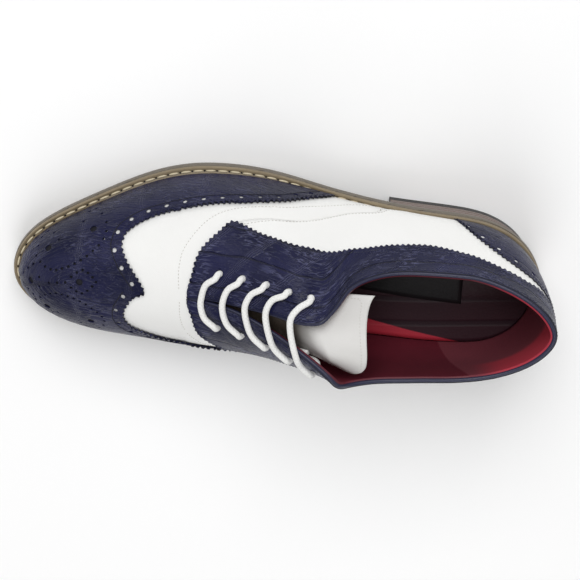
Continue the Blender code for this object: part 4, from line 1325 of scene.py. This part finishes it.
class Panel:
    """An overlay between a pinked edge and a base line, both as rows of along and up."""

    def __init__(self, edge, base, height):
        self.height = height
        self.edge = np.array(edge)
        self.base = np.array(base)
        share = np.linspace(0, 1, len(self.edge))
        at = np.linspace(0, 1, 3000)
        self.edge_dense = np.stack([steady_curve(share, self.edge[:, k], at) for k in (0, 1)], -1)
        self.base_dense = np.stack([steady_curve(share, self.base[:, k], at) for k in (0, 1)], -1)
        points = upper_point(*self.edge_dense.T)
        self.reach = run_along(points)
        self.teeth = int(round(self.reach[-1] / size("tooth_pitch")))

    def at(self, dense, x):
        return np.stack([np.interp(x * self.reach[-1], self.reach, dense[:, k]) for k in (0, 1)], -1)

    def spot(self, x, y):
        """Along and up of a point from its shares along the edge and out from the base."""
        edge = self.at(self.edge_dense, x)
        base = self.at(self.base_dense, x)
        out = (1 - (1 - y) ** 1.8)[:, None]
        return base + (edge - base) * out

    def place(self, x, y):
        spot = self.spot(x, y)
        points = leather_point(*spot.T, self.height)
        edge = self.at(self.edge_dense, x)
        base = self.at(self.base_dense, x)
        rim = leather_point(*edge.T, self.height)
        away = rim - leather_point(*(edge + (base - edge) * 0.04).T, self.height)
        ends = [upper_point(*self.at(self.edge_dense, np.clip(x + step, 0, 1)).T) for step in (-0.002, 0.002)]
        tangent = (ends[1] - ends[0]) / np.linalg.norm(ends[1] - ends[0], axis=-1, keepdims=True)
        away -= tangent * np.sum(away * tangent, axis=-1, keepdims=True)
        away /= np.maximum(np.linalg.norm(away, axis=-1, keepdims=True), 1e-9)
        near = np.clip(1 - np.linalg.norm(rim - points, axis=-1) / TOOTH_FADE, 0, 1)
        near *= np.clip(np.minimum(x, 1 - x) * self.reach[-1] / (8 * MM), 0, 1)
        return to_world(points + away * (tooth_wave(x * self.reach[-1]) * near)[:, None])

    def chart(self, x, y):
        return leather_chart(*self.spot(x, y).T)

    def inner_line(self, gap, lift, start=0.0, end=1.0, count=1500):
        """Points and normals of a line a fixed gap inside the edge."""
        x = np.linspace(start, end, count)
        edge = self.at(self.edge_dense, x)
        base = self.at(self.base_dense, x)
        span = np.linalg.norm(leather_point(*edge.T, 0.0) - leather_point(*base.T, 0.0), axis=-1)
        share = np.clip(gap / np.maximum(span, 1e-6), 0, 0.9)[:, None]
        spot = edge + (base - edge) * share
        points = to_world(leather_point(*spot.T, self.height + lift))
        higher = to_world(leather_point(*spot.T, self.height + lift + MM))
        return spot, points, higher - points

    def build(self, name, rows, look, node, probe):
        mesh = grid_mesh(name, 4 * self.teeth, rows, self.place, self.chart)
        outward(mesh, *probe, self.height)
        item = link(name, mesh, finish(look), finish("raw"))
        thicken(item, size("overlay_wall"), rim=1)
        settle(item)
        hand_over(item, node)
        return item


def navy_stitches(name, path, normals):
    """A row of fine navy stitches on an overlay."""
    row = seam(name, path, normals, size("fine_stitch_pitch"), *NAVY_STITCH, finish("navy thread"))
    hand_over(row, None)


def both_sides(rows):
    """Rows of one side and their mirror, through the heel."""
    rows = np.array(rows)
    mirror = rows[-2::-1].copy()
    mirror[:, 0] = LOOP - mirror[:, 0]
    mirror[:, 2] = LOOP - mirror[:, 2]
    return np.concatenate([rows, mirror])


class SHOE_OT_facing(bpy.types.Operator):
    """Make the navy facing and collar band with its pinked edge, stitches and folded top"""
    bl_idname = "shoe.facing"
    bl_label = "Facing"

    def execute(self, context):
        rows = both_sides(FACING_EDGE)
        top = np.column_stack([rows[:, 2], np.ones(len(rows))])
        panel = Panel(rows[:, :2], top, size("overlay_height"))
        item = panel.build("facing_leather", 26, "facing", "facing", (0.6, 0.85))
        holes = [(a if side else LOOP - a, up, FACING_LACE_HOLE) for a, up in LACE_HOLES for side in (0, 1)]
        punch(item, punch_mesh("facing punch", holes))
        navy_stitches("facing_stitches", *panel.inner_line(OVERLAY_STITCH_GAP, STITCH_LIFT)[1:])
        self.folded_edge()
        return {"FINISHED"}

    def folded_edge(self):
        """The rolled leather that finishes the throat and the topline."""
        along = np.linspace(THROAT_FRONT, LOOP - THROAT_FRONT, 901)
        sink = COLLAR_BEAD_RADIUS + 0.5 * MM
        centre = to_world(leather_point(along, 1.0, size("overlay_height") - sink))
        item = tube("collar_bead", centre, COLLAR_BEAD_RADIUS, 12, finish("bead"))
        hand_over(item, None)
        line = to_world(leather_point(along, 0.972, size("overlay_height") + STITCH_LIFT))
        higher = to_world(leather_point(along, 0.972, size("overlay_height") + STITCH_LIFT + MM))
        navy_stitches("collar_stitches", line, higher - line)


def tube(name, centre, radius, sides, material):
    """A round tube along a line of points, closed at both ends, with its length as UV map."""
    heading = np.gradient(centre, axis=0)
    heading /= np.linalg.norm(heading, axis=1, keepdims=True)
    side = np.zeros_like(centre)
    side[0] = np.cross(heading[0], (0.0, 0.0, 1.0))
    side[0] /= np.linalg.norm(side[0])
    for k in range(1, len(centre)):
        side[k] = side[k - 1] - heading[k] * (side[k - 1] @ heading[k])
        side[k] /= np.linalg.norm(side[k])
    other = np.cross(heading, side)
    reach = run_along(centre)

    def place(x, y):
        k = np.round(x * (len(centre) - 1)).astype(int)
        turn = 2 * np.pi * y
        return centre[k] + radius * (np.cos(turn)[:, None] * side[k] + np.sin(turn)[:, None] * other[k])

    def chart(x, y):
        return np.stack([np.interp(x * (len(centre) - 1), np.arange(len(centre)), reach), y], -1)

    mesh = seal(grid_mesh(name, len(centre) - 1, sides, place, chart))
    return link(name, mesh, material)


class SHOE_OT_counter(bpy.types.Operator):
    """Make the navy heel counter with its pinked edge, holes and stitches"""
    bl_idname = "shoe.counter"
    bl_label = "Heel counter"

    def execute(self, context):
        rows = both_sides(COUNTER_EDGE)
        foot = np.column_stack([rows[:, 2], np.full(len(rows), 0.012)])
        panel = Panel(rows[:, :2], foot, size("overlay_height"))
        item = panel.build("counter_leather", 30, "counter", "heel_counter", (0.9, 0.3))
        spot, path = panel.inner_line(COUNTER_HOLE_GAP, 0.0, 0.06, 0.94)[:2]
        reach = run_along(path)
        count = int(round(reach[-1] / COUNTER_HOLE_PITCH))
        at = np.interp((np.arange(count) + 0.5) / count * reach[-1], reach, np.arange(len(path)))
        holes = [(*spot[int(k)], size("edge_hole")) for k in at]
        punch(item, punch_mesh("counter punch", holes, *SMALL_PUNCH), folded=True)
        line = panel.inner_line(OVERLAY_STITCH_GAP, STITCH_LIFT, 0.02, 0.98)
        navy_stitches("counter_stitches", *line[1:])
        return {"FINISHED"}


class SHOE_OT_wing_cap(bpy.types.Operator):
    """Make the navy wing cap with its pinked edge, punched toe pattern, holes and stitches"""
    bl_idname = "shoe.wing_cap"
    bl_label = "Wing cap"

    def execute(self, context):
        height = size("overlay_height") - 0.1 * MM
        rows = np.array(WING_EDGE)
        up_dense = np.linspace(0.012, 1, 3000)
        sides = [steady_curve(rows[:, 0], rows[:, k], up_dense) for k in (1, 2)]
        runs = []
        for along, turn in zip(sides, (1, -1)):
            points = upper_point(np.mod(turn * along, LOOP), up_dense)
            runs.append(run_along(points))
        teeth = int(round(runs[0][-1] / size("tooth_pitch")))

        def level(x):
            up = np.interp(x * runs[0][-1], runs[0], up_dense)
            outer = np.interp(up, up_dense, sides[0])
            inner = np.interp(up, up_dense, sides[1])
            return up, outer, inner, np.interp(up, up_dense, runs[1])

        def spread(y):
            side = 2 * y - 1
            return np.sign(side) * (1 - (1 - abs(side)) ** 1.7)

        def place(x, y):
            up, outer, inner, inner_run = level(x)
            share = spread(y)
            along = np.where(share > 0, share * outer, share * inner)
            points = leather_point(along, up, height)
            limit = np.where(share > 0, outer, -inner)
            rim = leather_point(limit, up, height)
            away = rim - leather_point(limit * 0.985, up, height)
            ahead = [leather_point(
                np.where(share > 0, np.interp(np.clip(up + d, 0.012, 1), up_dense, sides[0]),
                         -np.interp(np.clip(up + d, 0.012, 1), up_dense, sides[1])),
                np.clip(up + d, 0.012, 1), height) for d in (-0.004, 0.004)]
            tangent = ahead[1] - ahead[0]
            tangent /= np.linalg.norm(tangent, axis=-1, keepdims=True)
            away = away - tangent * np.sum(away * tangent, axis=-1, keepdims=True)
            away /= np.maximum(np.linalg.norm(away, axis=-1, keepdims=True), 1e-9)
            run = np.where(share > 0, x * runs[0][-1], inner_run)
            near = np.clip(1 - np.linalg.norm(rim - points, axis=-1) / TOOTH_FADE, 0, 1)
            peak = np.clip((1 - up) / 0.004, 0, 1)
            return to_world(points + away * (tooth_wave(run) * near * peak)[:, None])

        def chart(x, y):
            up, outer, inner, inner_run = level(x)
            share = spread(y)
            return leather_chart(np.where(share > 0, share * outer, LOOP + share * inner), up)

        mesh = grid_mesh("wing_cap_leather", 4 * teeth, 60, place, chart)
        outward(mesh, 0.15, 0.5, height)
        item = link("wing_cap_leather", mesh, finish("wing"), finish("raw"))
        thicken(item, size("overlay_wall"), rim=1)
        settle(item)
        holes = self.toe_holes() + self.edge_holes()
        punch(item, punch_mesh("wing punch", holes, *SMALL_PUNCH), folded=True)
        hand_over(item, "wing_cap")
        self.backing()
        for number, turn in enumerate((1, -1)):
            spot = self.inside_edge(turn, WING_STITCH_GAP)
            line = to_world(leather_point(*spot.T, height + STITCH_LIFT))
            higher = to_world(leather_point(*spot.T, height + STITCH_LIFT + MM))
            navy_stitches(f"wing_stitches_{number + 1}", line, higher - line)
            spot = self.inside_edge(turn, WING_LINE_GAP)[::8]
            line = to_world(leather_point(*spot.T, height - 0.1 * MM))
            fold = tube(f"wing_line_{number + 1}", line, WING_LINE_RADIUS, 6, finish("backing"))
            hand_over(fold, None)
        return {"FINISHED"}

    def inside_edge(self, turn, gap, count=1200):
        """Along and up of a line a fixed gap ahead of the wing's back edge."""
        rows = np.array(WING_EDGE)
        up = np.linspace(0.03, 1, count)
        along = steady_curve(rows[:, 0], rows[:, 1 if turn > 0 else 2], up)
        points = upper_point(turn * along, up)
        tangent = np.gradient(points, axis=0)
        tangent /= np.linalg.norm(tangent, axis=1, keepdims=True)
        normal = upper_normal(turn * along, up)
        inward = np.cross(normal, tangent) * turn
        near = 0.002
        step_along = (upper_point(turn * along + near, up) - upper_point(turn * along - near, up)) / (2 * near)
        step_up = (upper_point(turn * along, np.clip(up + near, 0, 1))
                   - upper_point(turn * along, np.clip(up - near, 0, 1)))
        step_up /= (np.clip(up + near, 0, 1) - np.clip(up - near, 0, 1))[:, None]
        goal = inward * gap
        aa = np.sum(step_along ** 2, axis=1)
        bb = np.sum(step_up ** 2, axis=1)
        ab = np.sum(step_along * step_up, axis=1)
        ga = np.sum(goal * step_along, axis=1)
        gb = np.sum(goal * step_up, axis=1)
        det = aa * bb - ab ** 2
        spot = np.column_stack([
            turn * along + (ga * bb - gb * ab) / det, up + (gb * aa - ga * ab) / det])
        keep = (spot[:, 1] > 0.03) & (spot[:, 1] < 0.999) & (np.sign(spot[:, 0]) == turn)
        return spot[keep]

    def edge_holes(self):
        holes = []
        for turn in (1, -1):
            spot = self.inside_edge(turn, WING_HOLE_GAP)
            points = upper_point(*spot.T)
            reach = run_along(points)
            count = int(reach[-1] / WING_HOLE_PITCH)
            at = reach[-1] - (0.45 + np.arange(count)) * WING_HOLE_PITCH
            for k in np.interp(at, reach, np.arange(len(spot))):
                holes.append((*spot[int(k)], size("edge_hole")))
        return holes

    def toe_holes(self):
        """Places of the punched pattern, found on the leather below their places from above."""
        along, up = np.meshgrid(np.linspace(-0.30, 0.30, 601), np.linspace(0.15, 1.0, 341), indexing="ij")
        points = upper_point(along, up)
        flat = points[..., :2].reshape(-1, 2)
        holes = []
        groups = ((TOE_LARGE_HOLES, size("large_hole")), (TOE_PIN_HOLES, size("pin_hole")))
        for places, radius in groups:
            for u, off in places:
                axis = TOE_AXIS_START[1] + (TOE_AXIS_START[0] - u) * TOE_AXIS_SLOPE
                for side in ((1, -1) if off else (1,)):
                    goal = np.array([u, axis + side * off]) * MM
                    best = int(np.argmin(np.sum((flat - goal) ** 2, axis=1)))
                    i, j = np.unravel_index(best, along.shape)
                    holes.append((along[i, j], up[i, j], radius))
        return holes

    def backing(self):
        """The dark cloth that shows through the toe's punched pattern."""
        def place(x, y):
            up = 0.10 + 0.90 * x
            limit = np.interp(up, (0.1, 0.5, 0.75, 1.0), (0.235, 0.215, 0.195, 0.205))
            return to_world(leather_point((2 * y - 1) * limit, up, 0.35 * MM))

        mesh = grid_mesh("toe_backing", 60, 60, place)
        outward(mesh, 0.15, 0.5, 0.3 * MM)
        item = link("toe_backing", mesh, finish("backing"))
        thicken(item, 0.25 * MM)
        settle(item)
        hand_over(item, None)


# Tongue, lace and insole

LACE_SEAT = UPPER_WALL + LACE_GAP + LACE_DIAMETER + LACE_GAP
LACE_OVER = OVERLAY_OUTER + LACE_GAP + LACE_DIAMETER / 2
LACE_UNDER = -UPPER_WALL - LACE_GAP - LACE_DIAMETER / 2
LACE_BEND = LACE_GAP + LACE_DIAMETER / 2
LACE_BOW = 8 * MM
ALONG_RUN = SOLE_LENGTH * 1.13
UP_RUN = UPPER_HEIGHT * 0.85
EDGE_UP = 0.985


def tongue_row(along, depth, at):
    """Points across the tongue, from outer to inner side, on a smooth crown."""
    ups = np.array(TONGUE_UPS)
    outer = upper_offset(np.full(len(ups), along), ups, -depth)
    inner = upper_offset(np.full(len(ups), LOOP - along), ups, -depth)[::-1]
    points = np.concatenate([outer, inner])
    reach = run_along(points)
    share = reach / reach[-1]
    return np.stack([np.polyval(np.polyfit(share, points[:, k], 4), at) for k in range(3)], -1)


class SHOE_OT_tongue(bpy.types.Operator):
    """Make the white tongue with rounded corners and a row of stitches inside its edge"""
    bl_idname = "shoe.tongue"
    bl_label = "Tongue"

    def surface(self, x, y):
        """A point of the tongue's face from its shares across and towards the tip."""
        rows = np.array(TONGUE_STATIONS)
        body = 0.72
        points = np.zeros((len(x), 3))
        last_row = tongue_row(rows[-1, 0], LACE_SEAT * rows[-1, 1], np.linspace(0, 1, 10))
        centre = last_row.mean(axis=0)
        for value in np.unique(y):
            here = y == value
            station = min(value / body, 1.0)
            along = rows[0, 0] + (rows[-1, 0] - rows[0, 0]) * station
            seat = steady_curve(rows[:, 0], rows[:, 1], along)
            beyond = max(value - body, 0) / (1 - body)
            at = x[here]
            if beyond > 0:
                corner = max(beyond - 0.78, 0) / 0.22
                pull = 1 - 0.06 * beyond - 0.16 * (1 - math.sqrt(max(1 - corner ** 2.4, 0)))
                row = tongue_row(along, LACE_SEAT * float(seat), at)
                row[:, 1] = centre[1] + (row[:, 1] - centre[1]) * (1 - (1 - pull) * at)
                bow = 1 + 0.85 * (1 - at) ** 1.5 - 0.12 * at
                row[:, 0] -= TONGUE_TIP_RUN * SOLE_LENGTH * beyond * bow
                row[:, 1] -= 8 * MM * beyond * at ** 2
                row[:, 2] += TONGUE_TIP_RISE * SOLE_LENGTH * beyond
            else:
                row = tongue_row(along, LACE_SEAT * float(seat), at)
            points[here] = row
        return points

    def execute(self, context):
        def place(x, y):
            return to_world(self.surface(x, np.round(y, 6)))

        mesh = grid_mesh("tongue_leather", 48, 90, place, lambda x, y: np.stack([x * 0.05, y * 0.12], -1))
        up = sum((f.normal.z for f in mesh.polygons), 0.0)
        if up < 0:
            mesh.flip_normals()
        item = link("tongue_leather", mesh, finish("tongue"), finish("white raw"))
        thicken(item, TONGUE_THICKNESS, rim=1)
        settle(item)
        hand_over(item, "tongue")
        edge = [(0.055, 0.74 + 0.2 * s) for s in np.linspace(0, 1, 20)]
        edge += [(0.055 + 0.05 * s, 0.94 + 0.022 * s) for s in np.linspace(0.1, 1, 8)]
        edge += [(0.105 + 0.79 * s, 0.962) for s in np.linspace(0.02, 0.98, 60)]
        edge += [(0.895 + 0.05 * s, 0.962 - 0.022 * s) for s in np.linspace(0.1, 1, 8)]
        edge += [(0.945, 0.94 - 0.2 * s) for s in np.linspace(0, 1, 20)]
        edge = np.array(edge)
        path = to_world(self.surface(edge[:, 0], edge[:, 1])) + (0, 0, 0.02 * MM)
        normals = np.tile((0.0, -0.15, 1.0), (len(path), 1))
        row = seam("tongue_stitches", path, normals, TONGUE_STITCH_PITCH, *TONGUE_STITCH,
                   finish("white thread"))
        hand_over(row, None)
        return {"FINISHED"}


def between(low, high, at, start, end):
    return ((end - at) * low + (at - start) * high) / (end - start)


def smooth_route(keys, step):
    """Points on a centripetal Catmull-Rom curve through the keys."""
    keys = np.array(keys)
    keys = np.concatenate([[2 * keys[0] - keys[1]], keys, [2 * keys[-1] - keys[-2]]])
    route = []
    for k in range(1, len(keys) - 2):
        p = keys[k - 1:k + 3]
        t = np.concatenate([[0], np.cumsum(np.linalg.norm(np.diff(p, axis=0), axis=1) ** 0.5)])
        count = max(1, int(round(np.linalg.norm(p[2] - p[1]) / step)))
        for at in t[1] + (t[2] - t[1]) * np.arange(count) / count:
            first = [between(p[n], p[n + 1], at, t[n], t[n + 1]) for n in range(3)]
            second = [between(first[n], first[n + 1], at, t[n], t[n + 2]) for n in range(2)]
            route.append(between(*second, at, t[1], t[2]))
    route.append(keys[-2])
    return np.array(route)


def hole_place(number, inner_side):
    along, up = LACE_HOLES[number - 1]
    return (LOOP - along if inner_side else along), up


def bend_keys(place, towards, start, sign):
    """Keys of the bend out of a hole, from its axis to a run over or under the leather."""
    heading = np.array([(towards[0] - place[0]) * ALONG_RUN, (towards[1] - place[1]) * UP_RUN])
    heading = heading / np.linalg.norm(heading) / (ALONG_RUN, UP_RUN) * LACE_BEND
    turn = math.sqrt(0.5)
    return [
        upper_offset(place[0] + heading[0] * out, place[1] + heading[1] * out, start + sign * LACE_BEND * rise)
        for out, rise in ((0, 0), (1 - turn, turn), (1, 1))
    ]


def edge_keys(number, inner_side):
    """A key on the rounded turn over one edge of the throat, bowed towards the toe."""
    outer = LACE_HOLES[number - 1][0] - LACE_BOW / ALONG_RUN
    along = LOOP - outer if inner_side else outer
    ends = [upper_offset(a, EDGE_UP, OVERLAY_OUTER) for a in (along, LOOP - along)]
    chord = (ends[1] - ends[0]) / np.linalg.norm(ends[1] - ends[0])
    above = np.array([0, 0, 1]) - chord * chord[2]
    above = above / np.linalg.norm(above)
    across = upper_normal(np.array(along), np.array(EDGE_UP)) + above
    return [ends[0] + across / np.linalg.norm(across) * LACE_BEND]


def bar_keys(number, from_inner):
    """Keys of a bar: up through one hole, over both edges of the throat, down the other."""
    def half(inner_side):
        along, up = hole_place(number, inner_side)
        low = upper_offset(along, up, -UPPER_WALL / 2)
        bow = LACE_BOW / ALONG_RUN * (-1 if inner_side else 1)
        middle = upper_offset(along - bow * 0.68, (up + EDGE_UP) / 2, LACE_OVER)
        over = bend_keys((along, up), (along - bow * 0.68, 1.0), OVERLAY_OUTER, 1)
        return [low] + over + [middle] + edge_keys(number, inner_side)
    return half(from_inner) + half(not from_inner)[::-1]


def run_keys(start, end, inner_side, aside):
    """Keys of a run under the facing from one hole to another, set aside from the holes."""
    places = [hole_place(number, inner_side) for number in (start, end)]
    resting = [
        (between(places[0][0], places[1][0], share, 0, 1),
         between(places[0][1], places[1][1], share, 0, 1) + aside)
        for share in (0.35, 0.65)
    ]
    first = bend_keys(places[0], resting[0], -UPPER_WALL, -1)
    last = bend_keys(places[1], resting[1], -UPPER_WALL, -1)[::-1]
    return first + [upper_offset(*place, LACE_UNDER) for place in resting] + last


class SHOE_OT_lace(bpy.types.Operator):
    """Run the white lace through its holes in bowed bars, ends hidden inside"""
    bl_idname = "shoe.lace"
    bl_label = "Lace"

    def execute(self, context):
        away = -0.10
        near = 0.075
        keys = bar_keys(5, False) + run_keys(5, 3, True, away)
        keys += bar_keys(3, True) + run_keys(3, 1, False, away)
        keys += bar_keys(1, False) + run_keys(1, 2, True, 0.0)
        keys += bar_keys(2, True) + run_keys(2, 4, False, near)
        keys += bar_keys(4, False) + run_keys(4, 5, True, near)[:4]
        route = to_world(smooth_route(keys, 0.28 * LACE_DIAMETER))
        item = tube("lace_cord", route, LACE_DIAMETER / 2, 16, finish("lace"))
        hand_over(item, "lace")
        return {"FINISHED"}


class SHOE_OT_insole(bpy.types.Operator):
    """Make the red sock on the insole and its bare black patch"""
    bl_idname = "shoe.insole"
    bl_label = "Insole"

    def execute(self, context):
        wall = UPPER_WALL + INSOLE_CLEARANCE

        def edge(along):
            return sole_edge(along, column("inset", along, True) * WELT_MARGIN + wall)

        def place(x, y):
            share = (1 - np.cos(np.pi * x)) / 2
            outer = edge(share)
            inner = edge(LOOP - share)
            row = outer * (1 - y)[:, None] + inner * y[:, None]
            return to_world(np.column_stack([row, feather_height(row[:, 0]) + INSOLE_THICKNESS]))

        mesh = grid_mesh("insole_sock", 160, 30, place, lambda x, y: np.stack([x * SOLE_LENGTH, y * 0.1], -1))
        if sum(f.normal.z for f in mesh.polygons) < 0:
            mesh.flip_normals()
        item = link("insole_sock", mesh, finish("sock"))
        thicken(item, INSOLE_THICKNESS - 0.05 * MM)
        settle(item)
        hand_over(item, "insole")
        self.patch()
        return {"FINISHED"}

    def patch(self):
        low, high = (46 * MM, -7 * MM), (108 * MM, 24 * MM)

        def place(x, y):
            u = low[0] + (high[0] - low[0]) * x
            w = low[1] + (high[1] - low[1]) * y + 5 * MM * x
            return to_world(np.column_stack([u, w, feather_height(u) + INSOLE_THICKNESS + 0.35 * MM]))

        mesh = grid_mesh("label_patch", 24, 12, place)
        if sum(f.normal.z for f in mesh.polygons) < 0:
            mesh.flip_normals()
        item = link("label_patch", mesh, finish("patch"))
        thicken(item, 0.3 * MM)
        settle(item)
        hand_over(item, None)


# Stage

def camera_axes():
    """Right, up and backward directions of the camera in the world, and its place."""
    flat = math.cos(CAMERA_ELEVATION)
    back = np.array([
        math.sin(CAMERA_AZIMUTH) * flat, math.cos(CAMERA_AZIMUTH) * flat, math.sin(CAMERA_ELEVATION)])
    place = to_world(np.array(CAMERA_TARGET) + back * CAMERA_DISTANCE)
    back = np.array([-back[1], -back[0], back[2]])
    up = np.array([-1.0, 0.0, 0.0])
    up = up - back * (up @ back)
    up /= np.linalg.norm(up)
    right = np.cross(up, back)
    turned_right = right * math.cos(CAMERA_ROLL) + up * math.sin(CAMERA_ROLL)
    turned_up = up * math.cos(CAMERA_ROLL) - right * math.sin(CAMERA_ROLL)
    return turned_right, turned_up, back, place


def area_light(name, place, aim, width, height, power):
    light = bpy.data.lights.new(name, "AREA")
    light.shape = "RECTANGLE"
    light.size = width
    light.size_y = height
    light.energy = power
    item = bpy.data.objects.new(name, light)
    item.location = place
    item.rotation_mode = "QUATERNION"
    item.rotation_quaternion = (Vector(place) - Vector(aim)).to_track_quat("Z", "Y")
    bpy.context.scene.collection.objects.link(item)


class SHOE_OT_stage(bpy.types.Operator):
    """Lay the pale floor, hang the soft lights and set the camera"""
    bl_idname = "shoe.stage"
    bl_label = "Stage"

    def execute(self, context):
        scene = context.scene
        right, up, back, place = camera_axes()
        data = bpy.data.cameras.new("camera")
        data.sensor_width = SENSOR_WIDTH
        data.lens = FOCAL_PIXELS / IMAGE_SIZE * SENSOR_WIDTH
        data.clip_end = 20.0
        camera = bpy.data.objects.new("camera", data)
        turn = Matrix((right, up, back)).transposed().to_4x4()
        camera.matrix_world = Matrix.Translation(Vector(place)) @ turn
        scene.collection.objects.link(camera)
        scene.camera = camera

        bm = bmesh.new()
        bmesh.ops.create_grid(bm, x_segments=1, y_segments=1, size=4.0)
        mesh = bpy.data.meshes.new("floor")
        bm.to_mesh(mesh)
        bm.free()
        floor = link("floor", mesh, finish("studio floor"))

        middle = (0.0, -0.10, 0.04)
        area_light("key", (-2.2, -0.3, 2.7), middle, 2.2, 2.6, 82.0)
        area_light("side", (1.9, -0.10, 2.3), middle, 1.6, 2.4, 30.0)
        area_light("toe fill", (-0.1, -2.2, 1.1), middle, 1.6, 1.2, 6.0)
        area_light("heel fill", (-0.2, 2.1, 1.4), middle, 1.6, 1.2, 6.0)
        world = bpy.data.worlds.new("studio")
        world.use_nodes = True
        world.node_tree.nodes["Background"].inputs["Color"].default_value = (1.0, 1.0, 1.0, 1.0)
        world.node_tree.nodes["Background"].inputs["Strength"].default_value = 0.24
        scene.world = world
        scene.view_settings.view_transform = "Standard"
        return {"FINISHED"}


class SHOE_PT_panel(bpy.types.Panel):
    """The shoe's pieces and settings"""
    bl_idname = "SHOE_PT_panel"
    bl_label = "Spectator shoe"
    bl_space_type = "VIEW_3D"
    bl_region_type = "UI"
    bl_category = "Shoe"

    def draw(self, context):
        layout = self.layout
        for operator in OPERATORS:
            layout.operator(operator.bl_idname)
        for group in (context.scene.shoe_sizes, context.scene.shoe_colours):
            box = layout.box()
            for key in group.__annotations__:
                box.prop(group, key)


OPERATORS = (
    SHOE_OT_stage, SHOE_OT_outsole, SHOE_OT_heel, SHOE_OT_welt, SHOE_OT_upper, SHOE_OT_wing_cap,
    SHOE_OT_facing, SHOE_OT_counter, SHOE_OT_tongue, SHOE_OT_lace, SHOE_OT_insole,
)
CLASSES = (ShoeSizes, ShoeColours, *OPERATORS, SHOE_PT_panel)


def register():
    for item in CLASSES:
        bpy.utils.register_class(item)
    bpy.types.Scene.shoe_sizes = bpy.props.PointerProperty(type=ShoeSizes)
    bpy.types.Scene.shoe_colours = bpy.props.PointerProperty(type=ShoeColours)


def unregister():
    del bpy.types.Scene.shoe_sizes
    del bpy.types.Scene.shoe_colours
    for item in reversed(CLASSES):
        bpy.utils.unregister_class(item)


def main():
    register()
    for name in ("stage", "outsole", "heel", "welt", "upper", "wing_cap", "facing", "counter", "tongue",
                 "lace", "insole"):
        getattr(bpy.ops.shoe, name)()


if __name__ == "__main__":
    main()
